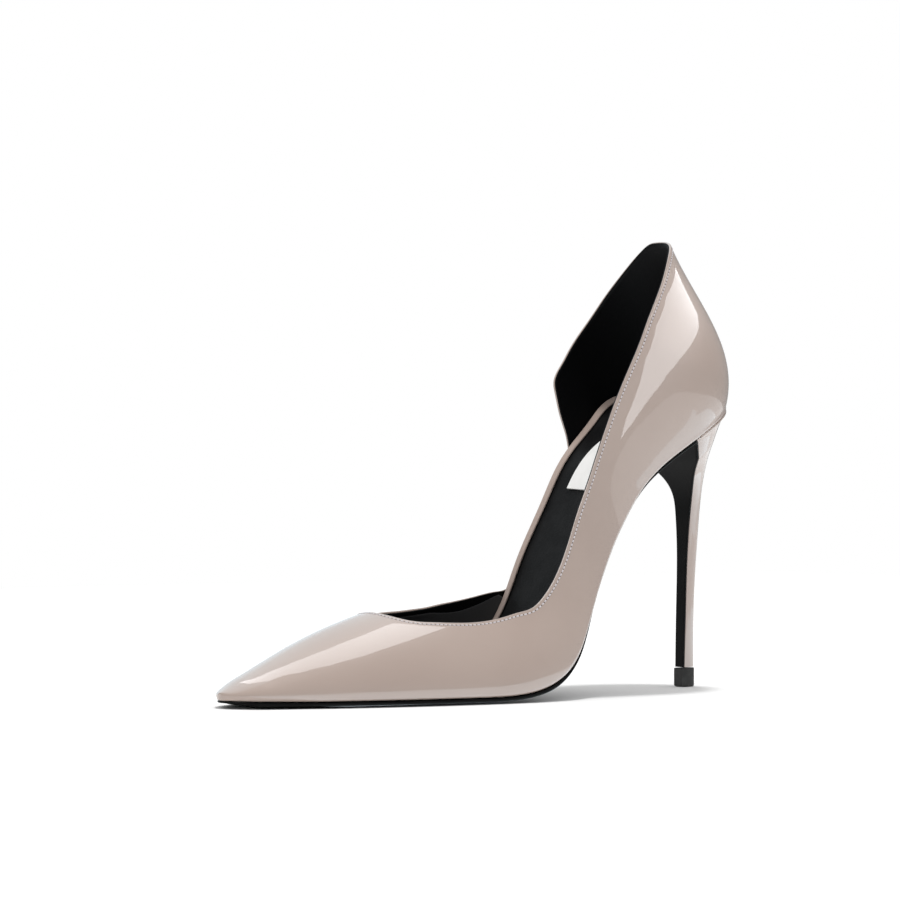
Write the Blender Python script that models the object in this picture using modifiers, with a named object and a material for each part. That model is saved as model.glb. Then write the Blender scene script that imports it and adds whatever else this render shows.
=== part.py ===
"""Left half d'Orsay pump: a pointed patent court shoe with a slim high heel, open at the inner arch.

The shoe stands on its tread and heel tip at z = 0, with the toe to -X and the inner side to +Y.
Every piece is worked out from one last: a bottom profile bent at the ball and at the seat, a plan
outline, and wall sections that rise from the outline. Sizes are in millimetres until MM turns them
into metres.
"""

from collections import namedtuple

import bmesh
import bpy
import numpy as np

MM = 0.001

# Bottom profile of the last, as the slope of its centre line. A station is a distance along that line,
# and the shoe lies between the stations of its toe tip and its heel back.
LAST_START = 2.5
LAST_END = 260.0
TOE_SPRING_DEG = 1.5
TOE_SPRING_RUN = 45.0
SHANK_DEG = 62.6
BREAK_START = 82.0
BREAK_RUN = 77.5
SEAT_DEG = 26.0
SEAT_START = 183.0
SEAT_RUN = 42.0

# Ends of the plan outline: how far back each end is rounded, and how square it is
TOE_ROUND_RUN = 12.0
TOE_ROUND_POWER = 2.0
HEEL_ROUND_RUN = 36.0
HEEL_ROUND_POWER = 2.3
NOSE_RUN = 9.0
NOSE_DROP = 0.6

# Thicknesses and clearances
WALL = 1.4
GAP = 0.3
FEATHER_ROUND = 1.6
LASTING_MARGIN = 8.0
MARGIN_SHARE = 0.6
OUTSOLE_THICKNESS = 2.0
INSOLE_THICKNESS = 2.4
BINDING_THICKNESS = 0.8
TWIST_CLEARANCE = 0.4
PAD_THICKNESS = 0.6

# Heights of the layers above the feather edge, which is level zero
OUTSOLE_TOP = -FEATHER_ROUND - GAP
OUTSOLE_BOTTOM = OUTSOLE_TOP - OUTSOLE_THICKNESS
INSOLE_BOTTOM = WALL - FEATHER_ROUND + GAP
INSOLE_TOP = INSOLE_BOTTOM + INSOLE_THICKNESS
BINDING_TOP = INSOLE_TOP + GAP + BINDING_THICKNESS
PAD_TOP = INSOLE_TOP + GAP + PAD_THICKNESS

# Sections of the last. Widths, lift and crest are in millimetres; the rest are shares.
# outer, inner: half width of the bottom on each side; lift: rise of the inner edge at the arch
# crest: height of the section's top; close: how far in that top lies, 1 being the centre line
# low, high: how far the lower and upper wall swell out or lean in
# foot, rise: the heights at which they do so
Section = namedtuple("Section", "station outer inner lift crest close low high foot rise")
LAST = [
    Section(0, 9.0, 9.0, 0.0, 0.2, 1.00, 0.03, 0.42, 0.45, 0.97),
    Section(12, 13.0, 13.5, 0.0, 6.2, 1.00, 0.03, 0.42, 0.45, 0.97),
    Section(30, 20.5, 21.5, 0.0, 15.2, 1.00, 0.03, 0.42, 0.45, 0.97),
    Section(60, 30.5, 31.5, 0.0, 26.3, 1.00, 0.03, 0.42, 0.45, 0.97),
    Section(90, 36.5, 35.5, 0.0, 33.6, 0.98, 0.03, 0.42, 0.44, 0.96),
    Section(112, 37.5, 33.0, 0.0, 39.5, 0.92, 0.04, 0.37, 0.42, 0.94),
    Section(140, 32.0, 25.0, -0.5, 48.0, 0.66, 0.06, 0.21, 0.38, 0.86),
    Section(165, 27.5, 21.2, 3.1, 58.0, 0.44, 0.09, 0.06, 0.35, 0.78),
    Section(192, 25.5, 18.8, 4.6, 64.0, 0.24, 0.15, -0.05, 0.32, 0.70),
    Section(208, 25.2, 19.4, 6.1, 66.0, 0.18, 0.20, -0.10, 0.31, 0.68),
    Section(222, 25.2, 22.2, 6.0, 66.5, 0.14, 0.26, -0.13, 0.31, 0.66),
    Section(236, 25.1, 24.4, 4.6, 67.0, 0.085, 0.36, -0.11, 0.30, 0.65),
    Section(248, 25.0, 25.0, 2.6, 67.0, 0.0, 0.48, -0.06, 0.30, 0.64),
    Section(260, 25.0, 25.0, 0.0, 67.0, -0.09, 0.56, -0.06, 0.30, 0.64),
]
# Rise of the outer bottom edge where the waist is drawn up and the seat let down, by station
Rise = namedtuple("Rise", "station height")
OUTER_RISE = [
    Rise(100.0, 0.0),
    Rise(112.0, 0.0),
    Rise(126.0, 0.4),
    Rise(140.0, 1.8),
    Rise(152.0, 2.2),
    Rise(165.0, 2.0),
    Rise(178.0, 1.3),
    Rise(192.0, -0.4),
    Rise(208.0, -1.6),
    Rise(222.0, -0.8),
    Rise(236.0, 0.0),
    Rise(248.0, 0.0),
    Rise(260.0, 0.0),
]
# The arch twist and the wall's turn square to the outline set in over these stretches of the last
ARCH_START = 100.0
ARCH_RUN = 40.0
LEAN_START = 150.0
LEAN_RUN = 60.0

# Topline: points along it from the throat to the heel back, as station and height
Rim = namedtuple("Rim", "station height")
THROAT = 62.5
CUT_HEIGHT = 0.6
HEEL_BACK_HEIGHT = 63.6
OUTER_TOPLINE = [
    Rim(67.0, 24.8),
    Rim(75.0, 23.8),
    Rim(87.0, 23.5),
    Rim(112.0, 25.0),
    Rim(126.0, 23.4),
    Rim(140.0, 20.3),
    Rim(155.0, 17.9),
    Rim(178.0, 19.6),
    Rim(190.0, 21.8),
    Rim(200.0, 25.9),
    Rim(212.0, 35.5),
    Rim(226.0, 46.9),
    Rim(243.0, 56.7),
    Rim(253.0, 62.1),
    Rim(257.6, 63.4),
    Rim(259.6, 63.6),
    Rim(LAST_END, HEEL_BACK_HEIGHT),
]
INNER_VAMP_TOPLINE = [
    Rim(67.0, 25.3),
    Rim(76.0, 25.6),
    Rim(86.0, 26.0),
    Rim(98.0, 26.3),
    Rim(110.0, 25.7),
    Rim(120.0, 25.0),
    Rim(129.0, 23.7),
    Rim(137.0, 20.0),
    Rim(144.0, 13.8),
    Rim(150.0, 6.3),
    Rim(153.5, 1.8),
    Rim(156.0, CUT_HEIGHT),
]
INNER_COUNTER_TOPLINE = [
    Rim(206.8, CUT_HEIGHT),
    Rim(209.3, 4.6),
    Rim(211.9, 13.0),
    Rim(213.9, 20.0),
    Rim(215.7, 24.9),
    Rim(221.1, 28.3),
    Rim(230.0, 33.0),
    Rim(239.3, 39.1),
    Rim(247.5, 46.8),
    Rim(254.0, 53.8),
    Rim(257.6, 58.6),
    Rim(259.6, 62.4),
    Rim(LAST_END, HEEL_BACK_HEIGHT),
]

# Fineness of the surfaces: the station that ends each run of columns and the steps in it, the steps
# round the toe and the heel back, the rows up the wall and round the feather edge, and the steps across
# the insole and the outsole.
Run = namedtuple("Run", "end steps")
COLUMN_RUNS = [
    Run(THROAT, 7),
    Run(64.5, 3),
    Run(68.0, 2),
    Run(76.0, 2),
    Run(110.0, 5),
    Run(132.0, 4),
    Run(157.0, 7),
    Run(205.0, 9),
    Run(219.0, 8),
    Run(230.0, 2),
]
TOE_STEPS = 6
HEEL_STEPS = 9
WALL_ROWS = 8
ROUND_ROWS = 3
PLATE_STEPS = 8
SOLE_STEPS = 6
LEAST_ROW = 1.0
MERGE = 2.0e-6

# Heel: front and back of each ring from the tip up, and its half width at the breast. The front is the
# face of the breast cover. Above the last row the heel follows the bend of the outsole and the seat.
Ring = namedtuple("Ring", "front_z back_z front_x back_x half")
HEEL = [
    Ring(7.3, 7.3, 199.2, 205.7, 2.1),
    Ring(30.0, 30.0, 199.8, 206.0, 2.3),
    Ring(50.0, 50.5, 200.4, 207.3, 2.6),
    Ring(64.0, 66.0, 200.7, 208.5, 3.8),
    Ring(74.0, 78.0, 199.9, 209.6, 6.4),
    Ring(79.5, 86.5, 197.6, 210.5, 10.5),
    Ring(84.0, 94.0, 194.8, 211.2, 16.0),
]
BREAST_STATION = 230.0
BEND_RADIUS = 3.5
BEND_END_DEG = -50.0
BEND_STEPS = 6
BEND_HALF = 19.5
BEND_SKIP = 3
FLARE_STEPS = 3
TWIST_ROWS = 10
HEEL_ARC = 16
HEEL_TOP_FRONT = 2.4
HEEL_TOP_INSET = 1.4
HEEL_TOP = OUTSOLE_TOP - 0.05
BREAST_COVER = 0.7
COVER_THINNING = 2.0
NECK_Z = 62.0
NECK_STEPS = 6
SHAFT_STEPS = 5
CUP_POWER = 1.5
TIP_FRONT = 198.9
TIP_BACK = 206.1
TIP_HALF = 2.5
TIP_HEIGHT = 7.0
TIP_EDGE = 0.5
TIP_SEAM = 0.2

# Outsole inset from the feather edge at the tread, the waist and the breast
OUTSOLE_STATIONS = [0.0, 110.0, 150.0, 190.0, 212.0, 240.0]
OUTSOLE_INSETS = [0.6, 0.6, 2.8, 2.8, 1.4, 1.2]

# Shares of the outsole's thickness left at the toe end, at the skived edge of the tread and at the waist,
# and where each sets in, as distances from the toe in plan
SOLE_TOE_SHARE = 0.3
SOLE_TOE_RUN = 14.0
SOLE_EDGE_SHARE = 0.6
WAIST_SHARE = 0.45
WAIST_START = 106.0
WAIST_RUN = 22.0

# Dish of the seat: how high the insole's edges rise, how far they spread, and where that sets in
DISH_RISE = 7.0
DISH_FLARE = 1.2
DISH_CLEARANCE = 0.9
DISH_START = 203.0
DISH_RUN = 40.0

# Insole, its edge binding along the arch, and the heel pad
INSOLE_START = 13.0
INSOLE_TOE_RUN = 12.0
INSOLE_TOE_STEPS = 4
INSOLE_TOE_SHARE = 0.6
INSOLE_VAMP_INSET = 1.2
INSOLE_VAMP_RUN = 70.0
BINDING_START = 112.0
BINDING_END = 247.0
BINDING_FLAP = 2.7
BINDING_TAPER = 0.3
PAD_START = 192.5
PAD_END = 252.0
PAD_HALF = 8.5
PAD_CENTRE = -2.0
PAD_ROUND = 12.0
PAD_STRAIGHT_STEPS = 11
PAD_ROUND_STEPS = 7
PAD_STEPS = 6

# Finishes, as colour and roughness
Finish = namedtuple("Finish", "colour roughness")
PATENT = Finish((0.44, 0.36, 0.31), 0.12)
SOLE_LEATHER = Finish((0.012, 0.012, 0.013), 0.45)
SOCK_LEATHER = Finish((0.014, 0.014, 0.015), 0.55)
TIP_RUBBER = Finish((0.035, 0.035, 0.034), 0.6)
PAD_LEATHER = Finish((0.86, 0.85, 0.83), 0.5)


def ramp(share):
    """Smooth step from 0 to 1 with level, evenly curved ends."""
    share = np.clip(share, 0.0, 1.0)
    return share**3 * (10.0 - 15.0 * share + 6.0 * share**2)


def spline(knots, values, at):
    """Natural cubic spline through the knots, which has no jump in its bending."""
    knots, values, at = (np.asarray(each, float) for each in (knots, values, at))
    step = np.diff(knots)
    count = len(knots)
    system = np.eye(count)
    right = np.zeros(count)
    for i in range(1, count - 1):
        system[i, i - 1 : i + 2] = step[i - 1], 2.0 * (step[i - 1] + step[i]), step[i]
        right[i] = 6.0 * ((values[i + 1] - values[i]) / step[i] - (values[i] - values[i - 1]) / step[i - 1])
    bend = np.linalg.solve(system, right)
    i = np.clip(np.searchsorted(knots, at) - 1, 0, count - 2)
    after = knots[i + 1] - at
    before = at - knots[i]
    cubic = (bend[i] * after**3 + bend[i + 1] * before**3) / (6.0 * step[i])
    left = (values[i] / step[i] - bend[i] * step[i] / 6.0) * after
    return cubic + left + (values[i + 1] / step[i] - bend[i + 1] * step[i] / 6.0) * before


def last_column(name, station):
    """One column of the section table, carried smoothly along the last."""
    return spline([row.station for row in LAST], [getattr(row, name) for row in LAST], station)


def slope(station):
    """Angle of the bottom centre line, positive where it climbs towards the heel."""
    spring = -TOE_SPRING_DEG * (1.0 - ramp(station / TOE_SPRING_RUN))
    shank = SHANK_DEG * ramp((station - BREAK_START) / BREAK_RUN)
    seat = (SHANK_DEG - SEAT_DEG) * ramp((station - SEAT_START) / SEAT_RUN)
    return np.radians(spring + shank - seat)


def trace_profile(steps=2000):
    """The bottom centre line as (station, x, z), found by adding up its slope."""
    station = np.linspace(0.0, LAST_END, steps)
    run = np.diff(station)
    angle = slope(station)
    middle = 0.5 * (angle[1:] + angle[:-1])
    x = np.concatenate([[0.0], np.cumsum(np.cos(middle) * run)])
    z = np.concatenate([[0.0], np.cumsum(np.sin(middle) * run)])
    return station, x, z - z.min() - OUTSOLE_BOTTOM


PROFILE_STATION, PROFILE_X, PROFILE_Z = trace_profile()


def body_width(station, side):
    """Half width on the outer (-1) or inner (+1) side, rounded at the toe only."""
    toe = np.clip((station - LAST_START) / TOE_ROUND_RUN, 0.0, 1.0)
    toe_round = (1.0 - (1.0 - toe) ** TOE_ROUND_POWER) ** (1.0 / TOE_ROUND_POWER)
    return last_column("outer" if side < 0 else "inner", station) * toe_round


def half_width(station, side):
    """Half width of the bottom, rounded at toe and heel."""
    heel = np.clip((LAST_END - station) / HEEL_ROUND_RUN, 0.0, 1.0)
    return body_width(station, side) * (1.0 - (1.0 - heel) ** HEEL_ROUND_POWER) ** (1.0 / HEEL_ROUND_POWER)


def arch_lift(station, y):
    """Rise of the twisted bottom, in proportion between its outer and its inner edge."""
    outer = last_column("outer", station)
    across = np.clip((y + outer) / (outer + last_column("inner", station)), 0.0, 1.0)
    inner_rise = last_column("lift", station) * ramp((station - ARCH_START) / ARCH_RUN)
    knots = [row.station for row in OUTER_RISE]
    outer_rise = spline(knots, [row.height for row in OUTER_RISE], np.clip(station, knots[0], knots[-1]))
    return inner_rise * across + outer_rise * (1.0 - across)


def outline_inward(station, side, step=0.02):
    """Unit normal of the plan outline, pointing in, as its station and sideways shares."""
    ahead = np.clip(station + step, LAST_START, LAST_END)
    behind = np.clip(station - step, LAST_START, LAST_END)
    along = ahead - behind
    across = half_width(ahead, side) - half_width(behind, side)
    length = np.hypot(along, across)
    return across / length, -side * along / length


def place(station, y, height):
    """Point at a station of the last, a distance sideways and a height above the feather plane."""
    x = np.interp(station, PROFILE_STATION, PROFILE_X)
    z = np.interp(station, PROFILE_STATION, PROFILE_Z)
    angle = slope(station)
    raised = height + arch_lift(station, y)
    x, y, z = np.broadcast_arrays(x - raised * np.sin(angle), y, z + raised * np.cos(angle))
    return np.stack([x, y, z], axis=-1)


def wall_section(station, side, share):
    """Inward travel and height of the wall at a share of its way from feather edge to crest."""
    nose = np.sqrt(1.0 - NOSE_DROP * (1.0 - np.clip((station - LAST_START) / NOSE_RUN, 0.0, 1.0)) ** 2)
    crest = last_column("crest", station) * nose
    first = 3.0 * share * (1.0 - share) ** 2
    second = 3.0 * share**2 * (1.0 - share)
    third = share**3
    travel = -first * last_column("low", station) + second * last_column("high", station)
    travel = (travel + third * last_column("close", station)) * body_width(station, side)
    height = first * last_column("foot", station) + second * last_column("rise", station) + third
    return travel, height * crest


def lean(station, side):
    """Direction in which the wall leans: straight in at the vamp, square to the outline at the heel."""
    along, across = outline_inward(station, side)
    turn = ramp((station - LEAN_START) / LEAN_RUN)
    along = along * turn
    across = across * turn - side * (1.0 - turn)
    length = np.hypot(along, across)
    return along / length, across / length


def wall_point(station, side, travel, height):
    """Point of the upper's outer face above the feather edge."""
    along, across = lean(station, side)
    feather = side * half_width(station, side)
    angle = slope(station)
    raised = height + arch_lift(station, feather)
    shift = along * travel
    x = np.interp(station, PROFILE_STATION, PROFILE_X) - raised * np.sin(angle) + shift * np.cos(angle)
    z = np.interp(station, PROFILE_STATION, PROFILE_Z) + raised * np.cos(angle) + shift * np.sin(angle)
    return np.stack(np.broadcast_arrays(x, feather + across * travel, z), axis=-1)


def margin_point(station, side, travel, height):
    """Point of the upper's outer face below the feather edge, where it turns under the insole."""
    along, across = lean(station, side)
    return place(station + along * travel, side * half_width(station, side) + across * travel, height)


def share_at_height(station, side, height, halvings=40):
    """Share of the wall section at which it reaches a height, found by halving."""
    low = np.zeros_like(station)
    high = np.ones_like(station)
    for _ in range(halvings):
        middle = 0.5 * (low + high)
        under = wall_section(station, side, middle)[1] < height
        low = np.where(under, middle, low)
        high = np.where(under, high, middle)
    return 0.5 * (low + high)


def rim_heights(points, station, samples=400):
    """Height of a topline at each station, from a smooth curve drawn through its points."""
    along = np.array([row.station for row in points])
    height = np.array([row.height for row in points])
    chord = np.concatenate([[0.0], np.cumsum(np.hypot(np.diff(along), np.diff(height)))])
    fine = np.linspace(0.0, chord[-1], samples)
    return np.interp(station, np.maximum.accumulate(spline(chord, along, fine)), spline(chord, height, fine))


def throat_point():
    """The foremost point of the topline, on the ridge of the vamp."""
    return Rim(THROAT, float(wall_section(np.array([THROAT]), 1, np.ones(1))[1][0]))


def topline_share(station, side):
    """Share of the wall section that is kept below the topline."""
    if side < 0:
        height = rim_heights([throat_point()] + OUTER_TOPLINE, station)
    else:
        vamp = rim_heights([throat_point()] + INNER_VAMP_TOPLINE, station)
        counter = rim_heights(INNER_COUNTER_TOPLINE, station)
        height = np.where(station < 0.5 * (INNER_VAMP_TOPLINE[-1].station + BREAST_STATION), vamp, counter)
    return np.where(station <= THROAT, 1.0, share_at_height(station, side, height))


def column_stations():
    """Stations shared by the pieces, close together at the toe, the cut-out and the heel back."""
    runs = [LAST_START + TOE_ROUND_RUN * np.linspace(0.0, 1.0, TOE_STEPS + 1) ** 2]
    for run in COLUMN_RUNS:
        runs.append(np.linspace(runs[-1][-1], run.end, run.steps + 1)[1:])
    turn = np.sin(np.linspace(0.0, 0.5 * np.pi, HEEL_STEPS + 1))[1:]
    start = runs[-1][-1]
    runs.append(start + (LAST_END - start) * turn)
    return np.concatenate(runs)


def upper_side(side):
    """Outer face of one side: the margin turned under the insole, the feather edge and the wall."""
    station = column_stations()
    width = body_width(station, side)
    margin = np.minimum(LASTING_MARGIN, MARGIN_SHARE * width)
    edge = np.minimum(FEATHER_ROUND, 0.5 * margin)
    rows = [margin_point(station, side, travel, -FEATHER_ROUND) for travel in (margin, 0.5 * (margin + edge))]
    for turn in np.linspace(0.5 * np.pi, 0.0, ROUND_ROWS + 1)[:-1]:
        rows.append(margin_point(station, side, edge * (1.0 - np.cos(turn)), -FEATHER_ROUND * np.sin(turn)))
    top = topline_share(station, side)
    for share in np.linspace(0.0, 1.0, WALL_ROWS + 1):
        rows.append(wall_point(station, side, *wall_section(station, side, share * top)))
    grid = np.stack(rows, axis=1)
    grid[[0, -1], :, 1] = 0.0
    grid[station <= THROAT, -1, 1] = 0.0
    return grid if side > 0 else grid[:, ::-1]


def offset_outline(station, side, inset):
    """Plan outline moved in by an inset, as station and sideways distance."""
    along, across = outline_inward(station, side)
    return station + along * inset, side * half_width(station, side) + across * inset


def dish_share(station):
    """How much of the dish of the seat is reached at a station."""
    return ramp((station - DISH_START) / DISH_RUN)


def seat_dish(station, y):
    """Rise of the insole towards its edges, where the seat is dished for the heel of the foot."""
    edge = np.where(y < 0.0, last_column("outer", station), last_column("inner", station))
    return DISH_RISE * dish_share(station) * (y / edge) ** 2


def plate_rows(outer, inner, height, across, dished=False):
    """Rows of points laid from the inner edge to the outer edge at one height of the last or its dish."""
    open_rows = inner[1] - outer[1] > LEAST_ROW
    outer = [each[open_rows] for each in outer]
    inner = [each[open_rows] for each in inner]
    share = np.linspace(1.0, 0.0, across + 1)
    station = outer[0][:, None] * (1.0 - share) + inner[0][:, None] * share
    y = outer[1][:, None] * (1.0 - share) + inner[1][:, None] * share
    return place(station, y, height + seat_dish(station, y) * dished)


def insole_rows():
    """Top of the insole, drawn in from the wall and rounded off short of the low toe."""
    station = column_stations()
    head = INSOLE_START + INSOLE_TOE_SHARE * INSOLE_TOE_RUN * np.linspace(0.0, 1.0, INSOLE_TOE_STEPS + 1) ** 2
    station = np.concatenate([head, station[station > head[-1] + LEAST_ROW]])
    clear = WALL + GAP + INSOLE_VAMP_INSET * (1.0 - ramp(station / INSOLE_VAMP_RUN))
    toe = np.clip((station - INSOLE_START) / INSOLE_TOE_RUN, 0.0, 1.0)
    toe_round = np.sqrt(1.0 - (1.0 - toe) ** 2)
    wide = dish_share(station)
    edging = GAP + BINDING_THICKNESS + TWIST_CLEARANCE + DISH_CLEARANCE * wide
    outer = offset_outline(station, -1, clear)
    inner = offset_outline(station, 1, clear + edging - DISH_FLARE * wide)
    outer = (outer[0], outer[1] * toe_round)
    inner = (inner[0], inner[1] * toe_round)
    return plate_rows(outer, inner, INSOLE_TOP, PLATE_STEPS, dished=True)


def binding_rows():
    """Strip over the insole's inner edge: up the edge and a little way in across the top, less at the seat."""
    station = column_stations()
    station = station[(station > BINDING_START) & (station < BINDING_END)]
    face = WALL + GAP
    flap = BINDING_FLAP * (1.0 - BINDING_TAPER * dish_share(station))
    profile = [(0.0, INSOLE_BOTTOM), (0.0, BINDING_TOP), (0.5, BINDING_TOP), (1.0, BINDING_TOP)]
    rows = []
    for share, height in profile:
        along, across = offset_outline(station, 1, face + share * flap - DISH_FLARE * dish_share(station))
        rows.append(place(along, across, height + seat_dish(along, across)))
    return np.stack(rows, axis=1)


def pad_rows():
    """Heel pad on the insole: a straight band with a rounded back end."""
    straight = np.linspace(PAD_START, PAD_END - PAD_ROUND, PAD_STRAIGHT_STEPS + 1)
    turn = np.linspace(0.0, 0.5 * np.pi, PAD_ROUND_STEPS + 1)[1:]
    station = np.concatenate([straight, straight[-1] + PAD_ROUND * np.sin(turn)])
    half = PAD_HALF * np.concatenate([np.ones_like(straight), np.cos(turn)])
    outer = (station, PAD_CENTRE - half)
    inner = (station, PAD_CENTRE + half)
    return plate_rows(outer, inner, PAD_TOP, PAD_STEPS, dished=True)


def heel_column(name, front_z):
    """One column of the heel table, carried smoothly up the breast."""
    return spline([row.front_z for row in HEEL], [getattr(row, name) for row in HEEL], front_z)


def outsole_bottom():
    """Inner face of the outsole along the bottom of the last."""
    station = column_stations()
    station = station[station <= BREAST_STATION]
    inset = np.interp(station, OUTSOLE_STATIONS, OUTSOLE_INSETS)
    outer = offset_outline(station, -1, inset)
    inner = offset_outline(station, 1, inset)
    return plate_rows(outer, inner, OUTSOLE_TOP, SOLE_STEPS)


def breast_path():
    """The outsole's inner face over the bend and down the breast, in rows from the seat to the tip.

    Gives each row's position at the outer edge, its half width and its rise at the inner edge."""
    end = outsole_bottom()[-1]
    angle = float(slope(BREAST_STATION))
    level = end[-1]
    centre = level[[0, 2]] + BEND_RADIUS * np.array([np.sin(angle), -np.cos(angle)])
    turn = np.linspace(0.5 * np.pi + angle, 0.5 * np.pi + np.radians(BEND_END_DEG), BEND_STEPS + 1)[1:]
    bend = centre + BEND_RADIUS * np.stack([np.cos(turn), np.sin(turn)], axis=1)
    bend_half = np.linspace(end[0, 1], BEND_HALF, BEND_STEPS + 1)[1:]
    neck_z = np.linspace(HEEL[-1].front_z, NECK_Z, NECK_STEPS + 1)
    front_z = np.concatenate([neck_z, np.linspace(NECK_Z, HEEL[0].front_z, SHAFT_STEPS + 1)[1:]])
    breast = np.stack([heel_column("front_x", front_z) + BREAST_COVER, front_z], axis=1)
    half = heel_column("half", front_z)
    step = np.linspace(0.0, 1.0, FLARE_STEPS + 1)[1:-1]
    flare = bend[-1] + step[:, None] * (breast[0] - bend[-1])
    flare_half = bend_half[-1] + step * (half[0] - bend_half[-1])
    path = np.concatenate([bend, flare, breast])
    fade = np.linspace(1.0, 0.0, TWIST_ROWS + 1)[1:] ** 2
    fade = np.concatenate([fade, np.zeros(len(path) - len(fade))])
    rise = fade[:, None] * (end[0] - level)[[0, 2]]
    return path, np.concatenate([bend_half, flare_half, half]), rise


def outsole_rows():
    """Inner face of the whole outsole, and the share of the full thickness left at each of its points."""
    bottom = outsole_bottom()
    path, half, rise = breast_path()
    across = np.linspace(1.0, 0.0, bottom.shape[1])
    x = path[:, :1] + rise[:, :1] * across
    z = path[:, 1:] + rise[:, 1:] * across
    flap = np.stack([x, half[:, None] * (2.0 * across - 1.0), z], axis=-1)
    cover = BREAST_COVER / OUTSOLE_THICKNESS
    thin = WAIST_SHARE + (cover - WAIST_SHARE) * ramp(np.linspace(0.0, COVER_THINNING, len(path)))
    from_toe = bottom[:, 0, 0]
    full = ramp((from_toe - LAST_START) / SOLE_TOE_RUN)
    drawn = ramp((from_toe - WAIST_START) / WAIST_RUN)
    toe = SOLE_TOE_SHARE + (1.0 - SOLE_TOE_SHARE) * full
    waist = 1.0 - (1.0 - WAIST_SHARE) * drawn
    share = np.concatenate([toe * waist, thin])[:, None] * np.ones(bottom.shape[1])
    share[: len(bottom), [0, -1]] *= (1.0 - (1.0 - SOLE_EDGE_SHARE) * full * (1.0 - drawn))[:, None]
    return np.concatenate([bottom, flap]), share


def seat_ring(back):
    """The heel's top ring, on the bottom of the last behind the breast. Back is 1 at the heel back."""
    first = BREAST_STATION + HEEL_TOP_FRONT
    station = first + (LAST_END - first) * back
    ring = []
    for side, each in zip(np.where(np.arange(len(back)) < len(back) // 2, -1, 1), station):
        along, across = offset_outline(np.array([each]), side, HEEL_TOP_INSET)
        ring.append(place(along, across, HEEL_TOP)[0])
    return np.array(ring)


def heel_rings():
    """Rings of the heel from tip to seat: a flat breast behind the cover, closed by half an ellipse."""
    turn = np.linspace(-0.5 * np.pi, 0.5 * np.pi, HEEL_ARC + 1)
    back = np.cos(turn)
    seat = seat_ring(back)
    path, half, rise = (each[::-1] for each in breast_path())
    heading = np.gradient(path, axis=0)
    heading = heading / np.hypot(heading[:, 0], heading[:, 1])[:, None]
    front = path + GAP * np.stack([heading[:, 1], -heading[:, 0]], axis=1)
    lower = path[:, 1] <= HEEL[-1].front_z
    rear_x = heel_column("back_x", path[:, 1])
    rear_z = heel_column("back_z", path[:, 1])
    upper_share = np.clip((np.cumsum(~lower)) / (np.sum(~lower) + 1.0), 0.0, 1.0)
    rear = seat[len(seat) // 2]
    rear_x = np.where(lower, rear_x, HEEL[-1].back_x + (rear[0] - HEEL[-1].back_x) * upper_share**CUP_POWER)
    rear_z = np.where(lower, rear_z, HEEL[-1].back_z + (rear[2] - HEEL[-1].back_z) * upper_share)
    across = 0.5 * (1.0 + np.sin(turn))
    x = front[:, :1] + rise[:, :1] * across * (1.0 - back)
    z = front[:, 1:] + rise[:, 1:] * across * (1.0 - back)
    x = x + (rear_x[:, None] - front[:, :1]) * back
    z = z + (rear_z[:, None] - front[:, 1:]) * back
    rings = np.stack([x, half[:, None] * np.sin(turn), z], axis=-1)
    straight = rings[np.sum(lower) - 1] + (seat - rings[np.sum(lower) - 1]) * upper_share[:, None, None]
    cup = np.sqrt(back)[None, :, None] * ~lower[:, None, None]
    rings = rings * (1.0 - cup) + straight * cup
    return np.concatenate([rings[:-BEND_SKIP], seat[None]])


def tip_rings():
    """Rings of the top piece: a little larger than heel and cover at the tip, drawn in at both edges."""
    turn = np.linspace(-0.5 * np.pi, 0.5 * np.pi, HEEL_ARC + 1)
    x = TIP_FRONT + (TIP_BACK - TIP_FRONT) * np.cos(turn)
    ring = np.stack([x, TIP_HALF * np.sin(turn), np.zeros_like(turn)], axis=-1)
    middle = ring.mean(axis=0)
    levels = [(0.0, TIP_EDGE), (TIP_EDGE, 0.0), (TIP_HEIGHT - TIP_SEAM, 0.0), (TIP_HEIGHT, TIP_SEAM)]
    rings = []
    for height, draw in levels:
        scale = 1.0 - draw / TIP_HALF
        rings.append(middle + (ring - middle) * np.array([scale, scale, 0.0]))
        rings[-1][:, 2] = height
    return np.array(rings)


def skin(name, finish):
    """Material with a colour, a roughness and no metal."""
    material = bpy.data.materials.new(name)
    material.use_nodes = True
    shader = material.node_tree.nodes["Principled BSDF"]
    shader.inputs["Base Color"].default_value = (*finish.colour, 1.0)
    shader.inputs["Roughness"].default_value = finish.roughness
    shader.inputs["Metallic"].default_value = 0.0
    return material


def add_object(name, mesh_data, finish):
    """Named object in the shoe's collection, held by the shoe's empty."""
    mesh = bpy.data.meshes.new(name)
    mesh_data.to_mesh(mesh)
    mesh_data.free()
    piece = bpy.data.objects.new(name, mesh)
    piece.data.materials.append(skin(name + "_finish", finish))
    shoe.objects.link(piece)
    piece.parent = holder
    return piece


def grid_mesh(grids, shares=None):
    """Open surface from grids of points, joined where their edges coincide. Shares, if given, weight
    the thickness at each point."""
    surface = bmesh.new()
    weight = surface.verts.layers.deform.verify()
    for grid in grids:
        verts = [[surface.verts.new(point * MM) for point in row] for row in grid]
        for row, after in zip(verts, verts[1:]):
            for j in range(len(row) - 1):
                surface.faces.new((row[j], row[j + 1], after[j + 1], after[j]))
        for row, row_shares in zip(verts, shares if shares is not None else []):
            for vert, share in zip(row, row_shares):
                vert[weight][0] = share
    bmesh.ops.remove_doubles(surface, verts=surface.verts, dist=MERGE)
    bmesh.ops.dissolve_degenerate(surface, edges=surface.edges, dist=MERGE)
    return surface


def solidify(piece, thickness):
    """Give an open surface its thickness, away from the side its faces look to."""
    shell = piece.modifiers.new("thickness", "SOLIDIFY")
    shell.thickness = thickness * MM
    shell.offset = -1.0
    shell.use_even_offset = True
    shell.use_quality_normals = True
    return shell


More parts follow.
